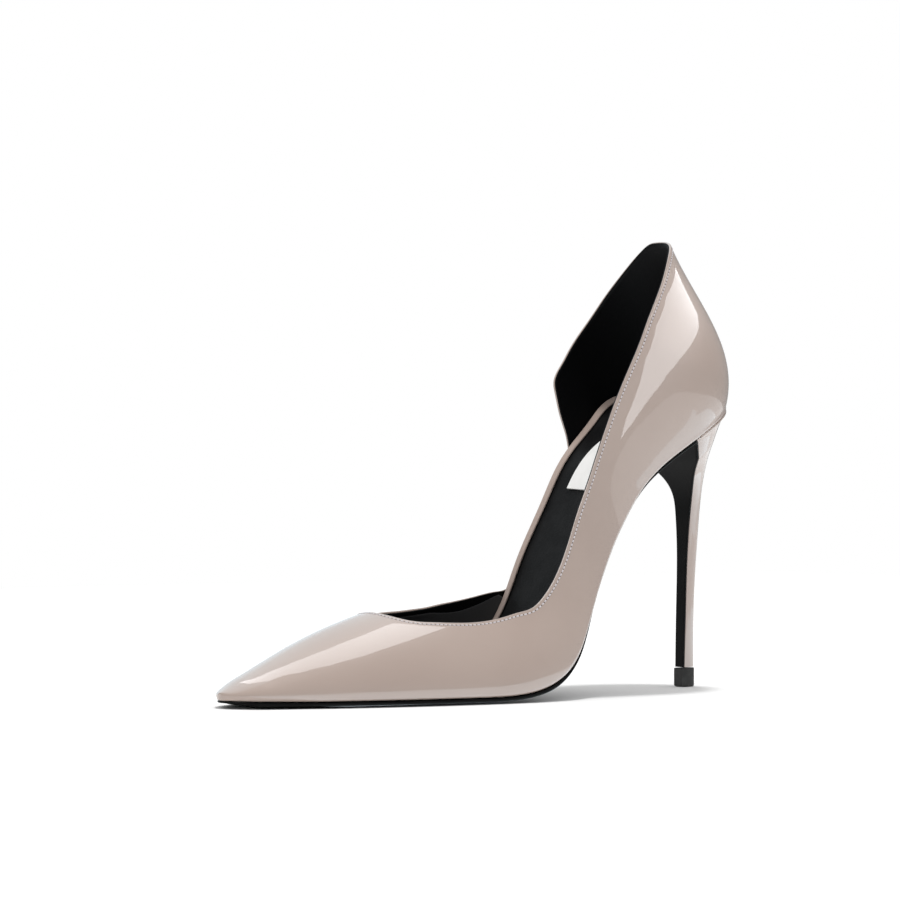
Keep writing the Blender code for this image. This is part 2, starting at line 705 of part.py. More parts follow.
def loft(rings):
    """Closed body through D-shaped rings, capped by strips laid across from side to side."""
    body = bmesh.new()
    verts = [[body.verts.new(point * MM) for point in ring] for ring in rings]
    count = len(verts[0])
    for ring, after in zip(verts, verts[1:]):
        for j in range(count):
            k = (j + 1) % count
            body.faces.new((ring[j], ring[k], after[k], after[j]))
    for ring in (verts[0], verts[-1]):
        for j in range(count // 2 - 1):
            body.faces.new((ring[j], ring[j + 1], ring[count - 2 - j], ring[count - 1 - j]))
        body.faces.new(ring[count // 2 - 1 : count // 2 + 2])
    bmesh.ops.recalc_face_normals(body, faces=body.faces)
    return body


for old in list(bpy.data.objects):
    bpy.data.objects.remove(old, do_unlink=True)

shoe = bpy.data.collections.new("half_dorsay_pump")
bpy.context.scene.collection.children.link(shoe)
holder = bpy.data.objects.new("pump_frame", None)
shoe.objects.link(holder)

upper_grids = [upper_side(-1), upper_side(1)]
upper_points = np.concatenate([grid.reshape(-1, 3) for grid in upper_grids])
middle = 0.5 * (upper_points.min(axis=0) + upper_points.max(axis=0))
holder.location = (-middle[0] * MM, -middle[1] * MM, 0.0)

upper = add_object("upper", grid_mesh(upper_grids), PATENT)
solidify(upper, WALL)

outsole_grid, outsole_share = outsole_rows()
outsole = add_object("outsole", grid_mesh([outsole_grid], outsole_share), SOLE_LEATHER)
outsole.vertex_groups.new(name="thickness_share")
solidify(outsole, OUTSOLE_THICKNESS).vertex_group = "thickness_share"

insole = add_object("insole", grid_mesh([insole_rows()]), SOCK_LEATHER)
solidify(insole, INSOLE_THICKNESS)

binding = add_object("arch_binding", grid_mesh([binding_rows()]), PATENT)
solidify(binding, BINDING_THICKNESS)

pad = add_object("heel_pad", grid_mesh([pad_rows()]), PAD_LEATHER)
solidify(pad, PAD_THICKNESS)

add_object("heel", loft(heel_rings()), PATENT)
add_object("top_piece", loft(tip_rings()), TIP_RUBBER)
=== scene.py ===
"""Looks of a left half d'Orsay pump in nude patent leather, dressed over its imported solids.

Lengths are in millimetres along the last until MM turns them into the frame's metres. A station is a
distance along the bottom centre line of the last, from toe to heel. Side -1 is the outer side of the
foot and +1 the inner side.
"""

from collections import namedtuple

import bmesh
import bpy
import numpy as np
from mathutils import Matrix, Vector
from mathutils.bvhtree import BVHTree


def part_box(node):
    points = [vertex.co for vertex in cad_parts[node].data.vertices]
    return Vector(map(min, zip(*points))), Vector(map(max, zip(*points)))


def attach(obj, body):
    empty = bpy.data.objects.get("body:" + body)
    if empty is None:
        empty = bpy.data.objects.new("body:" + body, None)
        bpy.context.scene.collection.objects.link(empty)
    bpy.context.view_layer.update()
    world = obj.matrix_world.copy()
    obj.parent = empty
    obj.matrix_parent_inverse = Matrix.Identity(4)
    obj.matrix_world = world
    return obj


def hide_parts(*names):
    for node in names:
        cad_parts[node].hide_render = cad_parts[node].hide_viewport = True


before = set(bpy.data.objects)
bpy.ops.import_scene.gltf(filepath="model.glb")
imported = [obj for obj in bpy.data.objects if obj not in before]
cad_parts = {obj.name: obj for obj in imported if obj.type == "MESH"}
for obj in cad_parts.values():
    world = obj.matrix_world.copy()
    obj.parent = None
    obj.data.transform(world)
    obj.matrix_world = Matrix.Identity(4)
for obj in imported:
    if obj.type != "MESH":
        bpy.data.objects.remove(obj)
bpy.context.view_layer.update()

# Upper
# One piece of nude patent leather, pulled over the last, turned under the insole board and cemented
# there. The wall rises from the feather edge to the topline, and at the inner arch it is cut down to
# the sole.
MM = 0.001
LAST_START = 2.5
LAST_END = 260.0
TOE_SPRING_DEG = 1.5
TOE_SPRING_RUN = 45.0
SHANK_DEG = 62.6
BREAK_START = 82.0
BREAK_RUN = 77.5
SEAT_DEG = 26.0
SEAT_START = 183.0
SEAT_RUN = 42.0
TOE_ROUND_RUN = 12.0
TOE_ROUND_POWER = 2.0
HEEL_ROUND_RUN = 36.0
HEEL_ROUND_POWER = 2.3
NOSE_RUN = 9.0
NOSE_DROP = 0.6
ARCH_START = 100.0
ARCH_RUN = 40.0
LEAN_START = 150.0
LEAN_RUN = 60.0
TREAD_LEVEL = -3.9
FEATHER_ROUND = 1.6
LASTING_MARGIN = 8.0
MARGIN_SHARE = 0.6
PATENT_THICKNESS = 0.7
TIP_FRONT = 198.9

# Sections of the last: widths, lift and crest in millimetres, the other columns as shares of them
Section = namedtuple("Section", "station outer inner lift crest close low high foot rise")
LAST = [
    Section(0, 9.0, 9.0, 0.0, 0.2, 1.00, 0.03, 0.42, 0.45, 0.97),
    Section(12, 13.0, 13.5, 0.0, 6.2, 1.00, 0.03, 0.42, 0.45, 0.97),
    Section(30, 20.5, 21.5, 0.0, 15.2, 1.00, 0.03, 0.42, 0.45, 0.97),
    Section(60, 30.5, 31.5, 0.0, 26.3, 1.00, 0.03, 0.42, 0.45, 0.97),
    Section(90, 36.5, 35.5, 0.0, 33.6, 0.98, 0.03, 0.42, 0.44, 0.96),
    Section(112, 37.5, 33.0, 0.0, 39.5, 0.92, 0.04, 0.37, 0.42, 0.94),
    Section(140, 32.0, 25.0, -0.5, 48.0, 0.66, 0.06, 0.21, 0.38, 0.86),
    Section(165, 27.5, 21.2, 3.1, 58.0, 0.44, 0.09, 0.06, 0.35, 0.78),
    Section(192, 25.5, 18.8, 4.6, 64.0, 0.24, 0.15, -0.05, 0.32, 0.70),
    Section(208, 25.2, 19.4, 6.1, 66.0, 0.18, 0.20, -0.10, 0.31, 0.68),
    Section(222, 25.2, 22.2, 6.0, 66.5, 0.14, 0.26, -0.13, 0.31, 0.66),
    Section(236, 25.1, 24.4, 4.6, 67.0, 0.085, 0.36, -0.11, 0.30, 0.65),
    Section(248, 25.0, 25.0, 2.6, 67.0, 0.0, 0.48, -0.06, 0.30, 0.64),
    Section(260, 25.0, 25.0, 0.0, 67.0, -0.09, 0.56, -0.06, 0.30, 0.64),
]

# Rise of the outer bottom edge where the waist is drawn up and the seat let down, by station
Rise = namedtuple("Rise", "station height")
OUTER_RISE = [
    Rise(100.0, 0.0),
    Rise(112.0, 0.0),
    Rise(126.0, 0.4),
    Rise(140.0, 1.8),
    Rise(152.0, 2.2),
    Rise(165.0, 2.0),
    Rise(178.0, 1.3),
    Rise(192.0, -0.4),
    Rise(208.0, -1.6),
    Rise(222.0, -0.8),
    Rise(236.0, 0.0),
    Rise(248.0, 0.0),
    Rise(260.0, 0.0),
]

# Toplines from the throat to the heel back, as station and height above the feather edge
THROAT = 62.5
CUT_HEIGHT = 0.6
CUT_FRONT = 156.0
CUT_BACK = 206.8
HEEL_BACK_HEIGHT = 63.6
Rim = namedtuple("Rim", "station height")
OUTER_TOPLINE = [
    Rim(67.0, 24.8),
    Rim(75.0, 23.8),
    Rim(87.0, 23.5),
    Rim(112.0, 25.0),
    Rim(126.0, 23.4),
    Rim(140.0, 20.3),
    Rim(155.0, 17.9),
    Rim(178.0, 19.6),
    Rim(190.0, 21.8),
    Rim(200.0, 25.9),
    Rim(212.0, 35.5),
    Rim(226.0, 46.9),
    Rim(243.0, 56.7),
    Rim(253.0, 62.1),
    Rim(257.6, 63.4),
    Rim(259.6, 63.6),
    Rim(LAST_END, HEEL_BACK_HEIGHT),
]
INNER_VAMP_TOPLINE = [
    Rim(67.0, 25.3),
    Rim(76.0, 25.6),
    Rim(86.0, 26.0),
    Rim(98.0, 26.3),
    Rim(110.0, 25.7),
    Rim(120.0, 25.0),
    Rim(129.0, 23.7),
    Rim(137.0, 20.0),
    Rim(144.0, 13.8),
    Rim(150.0, 6.3),
    Rim(153.5, 1.8),
    Rim(CUT_FRONT, CUT_HEIGHT),
]
INNER_COUNTER_TOPLINE = [
    Rim(CUT_BACK, CUT_HEIGHT),
    Rim(209.3, 4.6),
    Rim(211.9, 13.0),
    Rim(213.9, 20.0),
    Rim(215.7, 24.9),
    Rim(221.1, 28.3),
    Rim(230.0, 33.0),
    Rim(239.3, 39.1),
    Rim(247.5, 46.8),
    Rim(254.0, 53.8),
    Rim(257.6, 58.6),
    Rim(259.6, 62.4),
    Rim(LAST_END, HEEL_BACK_HEIGHT),
]

# Stations of the columns: where each run ends and how many steps it has
Run = namedtuple("Run", "end steps")
COLUMN_RUNS = [
    Run(THROAT, 40),
    Run(64.5, 24),
    Run(68.0, 14),
    Run(76.0, 12),
    Run(110.0, 28),
    Run(132.0, 20),
    Run(157.0, 48),
    Run(205.0, 36),
    Run(219.0, 56),
    Run(230.0, 12),
]
TOE_STEPS = 20
HEEL_STEPS = 40
WALL_ROWS = 36
ROUND_ROWS = 6
WELD = 2.0e-6


def ramp(share):
    """Smooth step from 0 to 1: the share cubed, times ten less fifteen shares plus six squared shares."""
    share = np.clip(share, 0.0, 1.0)
    return share**3 * (10.0 - 15.0 * share + 6.0 * share**2)


def spline(knots, values, at):
    """Natural cubic spline: cubics through the knots whose slopes and bending agree where they meet."""
    knots, values, at = (np.asarray(each, float) for each in (knots, values, at))
    step = np.diff(knots)
    rise = np.diff(values) / step
    system = np.eye(len(knots))
    right = np.zeros(len(knots))
    inside = np.arange(1, len(knots) - 1)
    system[inside, inside - 1] = step[:-1]
    system[inside, inside] = 2.0 * (step[:-1] + step[1:])
    system[inside, inside + 1] = step[1:]
    right[1:-1] = 6.0 * np.diff(rise)
    bend = np.linalg.solve(system, right)
    i = np.clip(np.searchsorted(knots, at) - 1, 0, len(knots) - 2)
    after = knots[i + 1] - at
    before = at - knots[i]
    cubic = (bend[i] * after**3 + bend[i + 1] * before**3) / (6.0 * step[i])
    left = (values[i] / step[i] - bend[i] * step[i] / 6.0) * after
    return cubic + left + (values[i + 1] / step[i] - bend[i + 1] * step[i] / 6.0) * before


def last_column(name, station):
    """One column of the section table as a spline of the station."""
    return spline([row.station for row in LAST], [getattr(row, name) for row in LAST], station)


def slope(station):
    """Angle of the bottom line: toe spring, plus the climb of the shank, less its easing at the seat."""
    spring = -TOE_SPRING_DEG * (1.0 - ramp(station / TOE_SPRING_RUN))
    shank = SHANK_DEG * ramp((station - BREAK_START) / BREAK_RUN)
    seat = (SHANK_DEG - SEAT_DEG) * ramp((station - SEAT_START) / SEAT_RUN)
    return np.radians(spring + shank - seat)


def trace_profile(steps=2000):
    """Bottom line as station, x and z: the running sums of the slope's cosine and sine."""
    station = np.linspace(0.0, LAST_END, steps)
    run = np.diff(station)
    angle = slope(station)
    middle = 0.5 * (angle[1:] + angle[:-1])
    x = np.concatenate([[0.0], np.cumsum(np.cos(middle) * run)])
    z = np.concatenate([[0.0], np.cumsum(np.sin(middle) * run)])
    return station, x, z - z.min() - TREAD_LEVEL


PROFILE_STATION, PROFILE_X, PROFILE_Z = trace_profile()


def body_width(station, side):
    """Half width from the table, rounded at the toe by a power curve."""
    toe = np.clip((station - LAST_START) / TOE_ROUND_RUN, 0.0, 1.0)
    toe_round = (1.0 - (1.0 - toe) ** TOE_ROUND_POWER) ** (1.0 / TOE_ROUND_POWER)
    return last_column("outer" if side < 0 else "inner", station) * toe_round


def half_width(station, side):
    """Half width of the bottom: the body width, rounded at the heel by a power curve as well."""
    heel = np.clip((LAST_END - station) / HEEL_ROUND_RUN, 0.0, 1.0)
    heel_round = (1.0 - (1.0 - heel) ** HEEL_ROUND_POWER) ** (1.0 / HEEL_ROUND_POWER)
    return body_width(station, side) * heel_round


def arch_lift(station, y):
    """Rise of the twisted bottom: the outer and the inner edge's rise, weighted by the way across."""
    outer = last_column("outer", station)
    across = np.clip((y + outer) / (outer + last_column("inner", station)), 0.0, 1.0)
    inner_rise = last_column("lift", station) * ramp((station - ARCH_START) / ARCH_RUN)
    knots = [row.station for row in OUTER_RISE]
    outer_rise = spline(knots, [row.height for row in OUTER_RISE], np.clip(station, knots[0], knots[-1]))
    return inner_rise * across + outer_rise * (1.0 - across)


def outline_inward(station, side, step=0.02):
    """Unit normal of the plan outline: its small chord, turned square and pointing in."""
    ahead = np.clip(station + step, LAST_START, LAST_END)
    behind = np.clip(station - step, LAST_START, LAST_END)
    along = ahead - behind
    across = half_width(ahead, side) - half_width(behind, side)
    length = np.hypot(along, across)
    return across / length, -side * along / length


def place(station, y, height):
    """Point of the last: along the bottom line to the station, sideways, and up square to the line."""
    x = np.interp(station, PROFILE_STATION, PROFILE_X)
    z = np.interp(station, PROFILE_STATION, PROFILE_Z)
    angle = slope(station)
    raised = height + arch_lift(station, y)
    x = x - raised * np.sin(angle)
    z = z + raised * np.cos(angle)
    return np.stack(np.broadcast_arrays(x, y, z), axis=-1)


def wall_section(station, side, share):
    """Inward travel and height of the wall: a cubic curve with the table's two inner handles."""
    nose = np.sqrt(1.0 - NOSE_DROP * (1.0 - np.clip((station - LAST_START) / NOSE_RUN, 0.0, 1.0)) ** 2)
    first = 3.0 * share * (1.0 - share) ** 2
    second = 3.0 * share**2 * (1.0 - share)
    third = share**3
    travel = second * last_column("high", station) - first * last_column("low", station)
    travel = (travel + third * last_column("close", station)) * body_width(station, side)
    height = first * last_column("foot", station) + second * last_column("rise", station) + third
    return travel, height * last_column("crest", station) * nose


def lean(station, side):
    """Direction of the wall's inward travel: across at the vamp, square to the outline at the heel."""
    along, across = outline_inward(station, side)
    turn = ramp((station - LEAN_START) / LEAN_RUN)
    along = along * turn
    across = across * turn - side * (1.0 - turn)
    length = np.hypot(along, across)
    return along / length, across / length


def wall_point(station, side, travel, height):
    """Point of the wall: the feather edge, moved in along the lean and up square to the bottom line."""
    along, across = lean(station, side)
    feather = side * half_width(station, side)
    angle = slope(station)
    raised = height + arch_lift(station, feather)
    shift = along * travel
    x = np.interp(station, PROFILE_STATION, PROFILE_X) - raised * np.sin(angle) + shift * np.cos(angle)
    z = np.interp(station, PROFILE_STATION, PROFILE_Z) + raised * np.cos(angle) + shift * np.sin(angle)
    return np.stack(np.broadcast_arrays(x, feather + across * travel, z), axis=-1)


def margin_point(station, side, travel, height):
    """Point of the lasting margin: in from the feather edge, on the twisted bottom of the last."""
    along, across = lean(station, side)
    return place(station + along * travel, side * half_width(station, side) + across * travel, height)


def share_at_height(station, side, height, halvings=40):
    """Share of the wall section at which it reaches a height, by halving the span that holds it."""
    low = np.zeros_like(station)
    high = np.ones_like(station)
    for _ in range(halvings):
        middle = 0.5 * (low + high)
        under = wall_section(station, side, middle)[1] < height
        low = np.where(under, middle, low)
        high = np.where(under, high, middle)
    return 0.5 * (low + high)


def rim_heights(points, station, samples=2000):
    """Height of a topline: station and height as splines of the chord length through its points."""
    along = np.array([row.station for row in points])
    height = np.array([row.height for row in points])
    chord = np.concatenate([[0.0], np.cumsum(np.hypot(np.diff(along), np.diff(height)))])
    fine = np.linspace(0.0, chord[-1], samples)
    reached = np.maximum.accumulate(spline(chord, along, fine))
    return np.interp(station, reached, spline(chord, height, fine))


def topline_share(station, side):
    """Share of the wall section kept below the topline; all of it in front of the throat."""
    throat = Rim(THROAT, float(wall_section(np.array([THROAT]), 1, np.ones(1))[1][0]))
    if side < 0:
        height = rim_heights([throat] + OUTER_TOPLINE, station)
    else:
        vamp = rim_heights([throat] + INNER_VAMP_TOPLINE, station)
        counter = rim_heights(INNER_COUNTER_TOPLINE, station)
        height = np.where(station < 0.5 * (CUT_FRONT + CUT_BACK), vamp, counter)
    return np.where(station <= THROAT, 1.0, share_at_height(station, side, height))


def column_stations():
    """Stations of the columns: squared steps at the toe, even runs, sine steps at the heel back."""
    runs = [LAST_START + TOE_ROUND_RUN * np.linspace(0.0, 1.0, TOE_STEPS + 1) ** 2]
    for run in COLUMN_RUNS:
        runs.append(np.linspace(runs[-1][-1], run.end, run.steps + 1)[1:])
    start = runs[-1][-1]
    turn = np.linspace(0.0, 0.5 * np.pi, HEEL_STEPS + 1)[1:]
    runs.append(start + (LAST_END - start) * np.sin(turn))
    return np.concatenate(runs)


STATION = column_stations()


def upper_side(side):
    """Outer face of one side, a column at each station: margin, quarter round, then the wall."""
    width = body_width(STATION, side)
    margin = np.minimum(LASTING_MARGIN, MARGIN_SHARE * width)
    edge = np.minimum(FEATHER_ROUND, 0.5 * margin)
    flat = (margin, 0.5 * (margin + edge))
    rows = [margin_point(STATION, side, travel, -FEATHER_ROUND) for travel in flat]
    for turn in np.linspace(0.5 * np.pi, 0.0, ROUND_ROWS + 1)[:-1]:
        travel = edge * (1.0 - np.cos(turn))
        rows.append(margin_point(STATION, side, travel, -FEATHER_ROUND * np.sin(turn)))
    top = topline_share(STATION, side)
    for share in np.linspace(0.0, 1.0, WALL_ROWS + 1):
        rows.append(wall_point(STATION, side, *wall_section(STATION, side, share * top)))
    grid = np.stack(rows, axis=1)
    grid[[0, -1], :, 1] = 0.0
    grid[STATION <= THROAT, -1, 1] = 0.0
    return grid


# Where the last stands in the frame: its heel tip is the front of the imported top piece
tip_low, tip_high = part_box("top_piece")
SHIFT = np.array([tip_low.x - TIP_FRONT * MM, 0.5 * (tip_low.y + tip_high.y), 0.0])


def grid_cells(rows, columns, first=0, closed=False):
    """Corner numbers of a grid's cells, row by row; a closed grid joins its last column to its first."""
    corner = first + np.arange(rows * columns).reshape(rows, columns)
    if closed:
        corner = np.concatenate([corner, corner[:, :1]], axis=1)
    cells = [corner[:-1, :-1], corner[:-1, 1:], corner[1:, 1:], corner[1:, :-1]]
    return np.stack(cells, axis=-1).reshape(-1, 4)


def add_piece(name, points, cells, finish, sharp_deg=180.0):
    """Object from points in last millimetres and lists of corners, welded, smooth, riding on the shoe."""
    mesh = bpy.data.meshes.new(name)
    mesh.from_pydata(points * MM + SHIFT, [], cells)
    work = bmesh.new()
    work.from_mesh(mesh)
    bmesh.ops.remove_doubles(work, verts=work.verts, dist=WELD)
    bmesh.ops.dissolve_degenerate(work, edges=work.edges, dist=WELD)
    work.to_mesh(mesh)
    work.free()
    mesh.shade_smooth()
    mesh.set_sharp_from_angle(angle=np.radians(sharp_deg))
    mesh.materials.append(finish)
    piece = bpy.data.objects.new(name, mesh)
    bpy.context.scene.collection.objects.link(piece)
    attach(piece, "root")
    return piece


def thicken(piece, thickness):
    """Wall thickness, laid on the side away from the face."""
    wall = piece.modifiers.new("thickness", "SOLIDIFY")
    wall.thickness = thickness * MM
    wall.offset = -1.0


def new_finish(name, colour, roughness, specular):
    """Material with a Principled shader of one colour, one roughness and one specular level."""
    finish = bpy.data.materials.new(name)
    finish.use_nodes = True
    shader = finish.node_tree.nodes["Principled BSDF"]
    shader.inputs["Base Color"].default_value = (*colour, 1.0)
    shader.inputs["Roughness"].default_value = roughness
    shader.inputs["Specular IOR Level"].default_value = specular
    return finish


TONE_DETAIL = 3.0
TONE_FROM = 0.35
TONE_TO = 0.65


def add_tone(finish, low, high, per_metre):
    """Soft colour change: cloudy noise on object coordinates, mapped between two colours."""
    nodes = finish.node_tree.nodes
    links = finish.node_tree.links
    place_node = nodes.new("ShaderNodeTexCoord")
    cloud = nodes.new("ShaderNodeTexNoise")
    cloud.inputs["Scale"].default_value = per_metre
    cloud.inputs["Detail"].default_value = TONE_DETAIL
    blend = nodes.new("ShaderNodeValToRGB")
    blend.color_ramp.elements[0].position = TONE_FROM
    blend.color_ramp.elements[0].color = (*low, 1.0)
    blend.color_ramp.elements[1].position = TONE_TO
    blend.color_ramp.elements[1].color = (*high, 1.0)
    links.new(place_node.outputs["Object"], cloud.inputs["Vector"])
    links.new(cloud.outputs["Fac"], blend.inputs["Fac"])
    links.new(blend.outputs["Color"], nodes["Principled BSDF"].inputs["Base Color"])


def add_relief(finish, kind, per_metre, depth, strength):
    """Fine relief: a noise or cell pattern on object coordinates, read as a height of some depth."""
    nodes = finish.node_tree.nodes
    links = finish.node_tree.links
    place_node = nodes.new("ShaderNodeTexCoord")
    pattern = nodes.new("ShaderNodeTex" + kind)
    pattern.inputs["Scale"].default_value = per_metre
    relief = nodes.new("ShaderNodeBump")
    relief.inputs["Distance"].default_value = depth * MM
    relief.inputs["Strength"].default_value = strength
    links.new(place_node.outputs["Object"], pattern.inputs["Vector"])
    links.new(pattern.outputs[0], relief.inputs["Height"])
    links.new(relief.outputs["Normal"], nodes["Principled BSDF"].inputs["Normal"])


# Nude hide under a clear, hard, very smooth coat with the faintest ripple
NUDE_LOW = (0.408, 0.322, 0.280)
NUDE_HIGH = (0.424, 0.338, 0.295)
NUDE_PER_METRE = 24.0
COAT_WEIGHT = 1.0
COAT_ROUGHNESS = 0.02
COAT_IOR = 1.5
nude_patent = new_finish("nude_patent", NUDE_LOW, roughness=0.42, specular=0.3)
patent_shader = nude_patent.node_tree.nodes["Principled BSDF"]
patent_shader.inputs["Coat Weight"].default_value = COAT_WEIGHT
patent_shader.inputs["Coat Roughness"].default_value = COAT_ROUGHNESS
patent_shader.inputs["Coat IOR"].default_value = COAT_IOR
add_tone(nude_patent, NUDE_LOW, NUDE_HIGH, NUDE_PER_METRE)
add_relief(nude_patent, "Noise", per_metre=1800.0, depth=0.01, strength=0.12)

outer_side = upper_side(-1)
inner_side = upper_side(1)
side_count = outer_side.shape[0] * outer_side.shape[1]
upper_points = np.concatenate([outer_side[:, ::-1].reshape(-1, 3), inner_side.reshape(-1, 3)])
upper_cells = np.concatenate([
    grid_cells(*outer_side.shape[:2]),
    grid_cells(*inner_side.shape[:2], first=side_count),
])
upper = add_piece("upper_patent", upper_points, upper_cells, nude_patent)
thicken(upper, PATENT_THICKNESS)
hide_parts("upper")

# Lining
# Thin black leather cemented inside the upper, from the topline down under the insole. It shows in the
# heel cup, along the outer quarter and inside the vamp.
LINING_DEPTH = 0.75
LINING_THICKNESS = 0.6
LINING_START = 18.0
FEATHER_ROW = 2 + ROUND_ROWS
LINING_BLACK = (0.0035, 0.0035, 0.0038)
lining_black = new_finish("lining_black", LINING_BLACK, roughness=0.6, specular=0.08)
add_relief(lining_black, "Voronoi", per_metre=1400.0, depth=0.05, strength=0.35)


def unit(vectors):
    """Vectors divided by their lengths; those of no length stay as they are."""
    length = np.linalg.norm(vectors, axis=-1, keepdims=True)
    return vectors / np.where(length > 0.0, length, 1.0)


def inner_layer(grid, side, depth):
    """Wall of one side moved in by a depth, along the cross product of its two grid directions."""
    inward = unit(np.cross(np.gradient(grid, axis=0), np.gradient(grid, axis=1))) * side
    ridge = STATION <= THROAT
    inward[ridge, -1, 1] = 0.0
    inward[-1, :, 1] = 0.0
    return grid + depth * unit(inward)


def lower_rows(wall, top):
    """Wall rows drawn down below a top share of each column, by straight steps between the rows."""
    at = np.asarray(top)[:, None] * np.arange(WALL_ROWS + 1)
    low = np.minimum(at.astype(int), WALL_ROWS - 1)
    column = np.arange(len(wall))[:, None]
    return wall[column, low] + (at - low)[:, :, None] * (wall[column, low + 1] - wall[column, low])


def add_lining(name, depth, keep, finish, thickness, top):
    """Lining of both sides at the kept stations, from the feather edge up to a top share of the wall."""
    outer = lower_rows(inner_layer(outer_side, -1, depth)[keep, FEATHER_ROW:], top)[:, ::-1]
    inner = lower_rows(inner_layer(inner_side, 1, depth)[keep, FEATHER_ROW:], top)
    points = np.concatenate([outer.reshape(-1, 3), inner.reshape(-1, 3)])
    second = grid_cells(*inner.shape[:2], first=outer.shape[0] * outer.shape[1])
    cells = np.concatenate([grid_cells(*outer.shape[:2]), second])
    piece = add_piece(name, points, cells, finish)
    thicken(piece, thickness)


lining_keep = STATION > LINING_START
lining_top = np.ones(np.sum(lining_keep))
add_lining("upper_lining", LINING_DEPTH, lining_keep, lining_black, LINING_THICKNESS, lining_top)

# Vamp lining
# Grey black fabric glued over the lining inside the vamp. It stops below the topline, where the plain
# leather of the lining shows as a darker strip.
FABRIC_DEPTH = 1.37
FABRIC_THICKNESS = 0.2
FABRIC_START = 30.0
FABRIC_END = 150.0
FABRIC_FRONT_SHARE = 0.94
FABRIC_BACK_SHARE = 0.74
FABRIC_FALL = 105.0
FABRIC_GREY = (0.055, 0.055, 0.056)
fabric_grey = new_finish("fabric_grey", FABRIC_GREY, roughness=0.8, specular=0.1)
add_relief(fabric_grey, "Noise", per_metre=2600.0, depth=0.12, strength=0.6)
fabric_keep = (STATION > FABRIC_START) & (STATION < FABRIC_END)
fabric_fall = ramp((STATION[fabric_keep] - FABRIC_FALL) / (FABRIC_END - FABRIC_FALL))
fabric_top = FABRIC_FRONT_SHARE + (FABRIC_BACK_SHARE - FABRIC_FRONT_SHARE) * fabric_fall
add_lining("vamp_lining", FABRIC_DEPTH, fabric_keep, fabric_grey, FABRIC_THICKNESS, fabric_top)

# Topline fold
# The edge of the patent leather, skived and folded over the lining, so the topline is a thin round
# rim. It runs from the arch up the inner vamp, round the throat, along the outer side and round the
# heel back.
FOLD_STEP = 0.5
FOLD_ARC = 8
FOLD_HALF = 0.46
FOLD_CENTRE = -0.42
FOLD_CROWN = 0.4
FOLD_LEVEL = -0.25
FOLD_FOOT = -0.9
FOLD_FOOT_SHARE = 0.8


def rim_line(grid, side, keep):
    """Topline points of one side and the normals there: the chord along the rim crossed with the wall."""
    rim = grid[keep, -1]
    along = np.gradient(grid[:, -1], axis=0)[keep]
    up = grid[keep, -1] - grid[keep, -2]
    return rim, unit(np.cross(along, up) * -side)


def even_path(points, normals, step):
    """Points and normals at even steps of length along a line, with its tangent and its edge normal."""
    chord = np.concatenate([[0.0], np.cumsum(np.linalg.norm(np.diff(points, axis=0), axis=1))])
    at = np.linspace(0.0, chord[-1], int(chord[-1] / step) + 1)
    points = np.stack([np.interp(at, chord, points[:, k]) for k in range(3)], axis=1)
    normals = np.stack([np.interp(at, chord, normals[:, k]) for k in range(3)], axis=1)
    tangent = unit(np.gradient(points, axis=0))
    edge = unit(np.cross(normals, tangent))
    return points, unit(np.cross(tangent, edge)), tangent, edge


def swept(points, first, second, profile):
    """Profile carried along a path: each profile point is so much of the first and second direction."""
    across = profile[:, 0, None] * first[:, None]
    return points[:, None] + across + profile[:, 1, None] * second[:, None]


vamp_keep = (STATION >= THROAT) & (STATION <= CUT_FRONT)
counter_keep = STATION >= CUT_BACK
inner_vamp, inner_vamp_normal = rim_line(inner_side, 1, vamp_keep)
outer_rim, outer_rim_normal = rim_line(outer_side, -1, STATION >= THROAT)
inner_counter, inner_counter_normal = rim_line(inner_side, 1, counter_keep)
rim_points = np.concatenate([inner_vamp[::-1], outer_rim[1:], inner_counter[-2::-1]])
rim_normals = np.concatenate([
    inner_vamp_normal[::-1],
    outer_rim_normal[1:],
    inner_counter_normal[-2::-1],
])
fold_points, fold_out, _, fold_edge = even_path(rim_points, rim_normals, FOLD_STEP)
turn = np.linspace(0.0, np.pi, FOLD_ARC + 1)
fold_profile = np.concatenate([
    [[FOLD_CENTRE + FOLD_FOOT_SHARE * FOLD_HALF, FOLD_FOOT]],
    np.stack([FOLD_CENTRE + FOLD_HALF * np.cos(turn), FOLD_LEVEL + FOLD_CROWN * np.sin(turn)], axis=1),
    [[FOLD_CENTRE - FOLD_FOOT_SHARE * FOLD_HALF, FOLD_FOOT]],
])
fold_rings = swept(fold_points, fold_out, fold_edge, fold_profile)


def add_tube(name, rings, finish, sharp_deg=180.0):
    """Closed tube: cells between each ring of points and the next, and a face on either end ring."""
    rows, columns = rings.shape[:2]
    last = (rows - 1) * columns
    cells = grid_cells(rows, columns, closed=True).tolist()
    cells += [list(range(columns))[::-1], list(range(last, last + columns))]
    return add_piece(name, rings.reshape(-1, 3), cells, finish, sharp_deg)


add_tube("topline_fold", fold_rings, nude_patent)

# Topline stitches
# One row of light grey thread through upper and lining, close below the fold, in short even stitches.
# The needle leaves a pinhole between each stitch and the next. Each hole is drawn as a small raised bead
# whose dark colour is painted shade of the hole.
STITCH_PITCH = 1.45
STITCH_LENGTH = 1.15
STITCH_RADIUS = 0.3
STITCH_BELOW = 1.25
STITCH_SINK = 0.05
STITCH_RINGS = 5
STITCH_SIDES = 6
PINHOLE_LENGTH = 0.42
PINHOLE_RADIUS = 0.22
PINHOLE_SINK = 0.08
THREAD_GREY = (0.60, 0.57, 0.59)
# Painted shade: the dark colour of the pinhole beads stands in for the shade inside the needle holes
PINHOLE_PAINTED_SHADE = (0.09, 0.07, 0.06)
thread_grey = new_finish("thread_grey", THREAD_GREY, roughness=0.5, specular=0.4)
add_relief(thread_grey, "Noise", per_metre=6000.0, depth=0.03, strength=0.5)

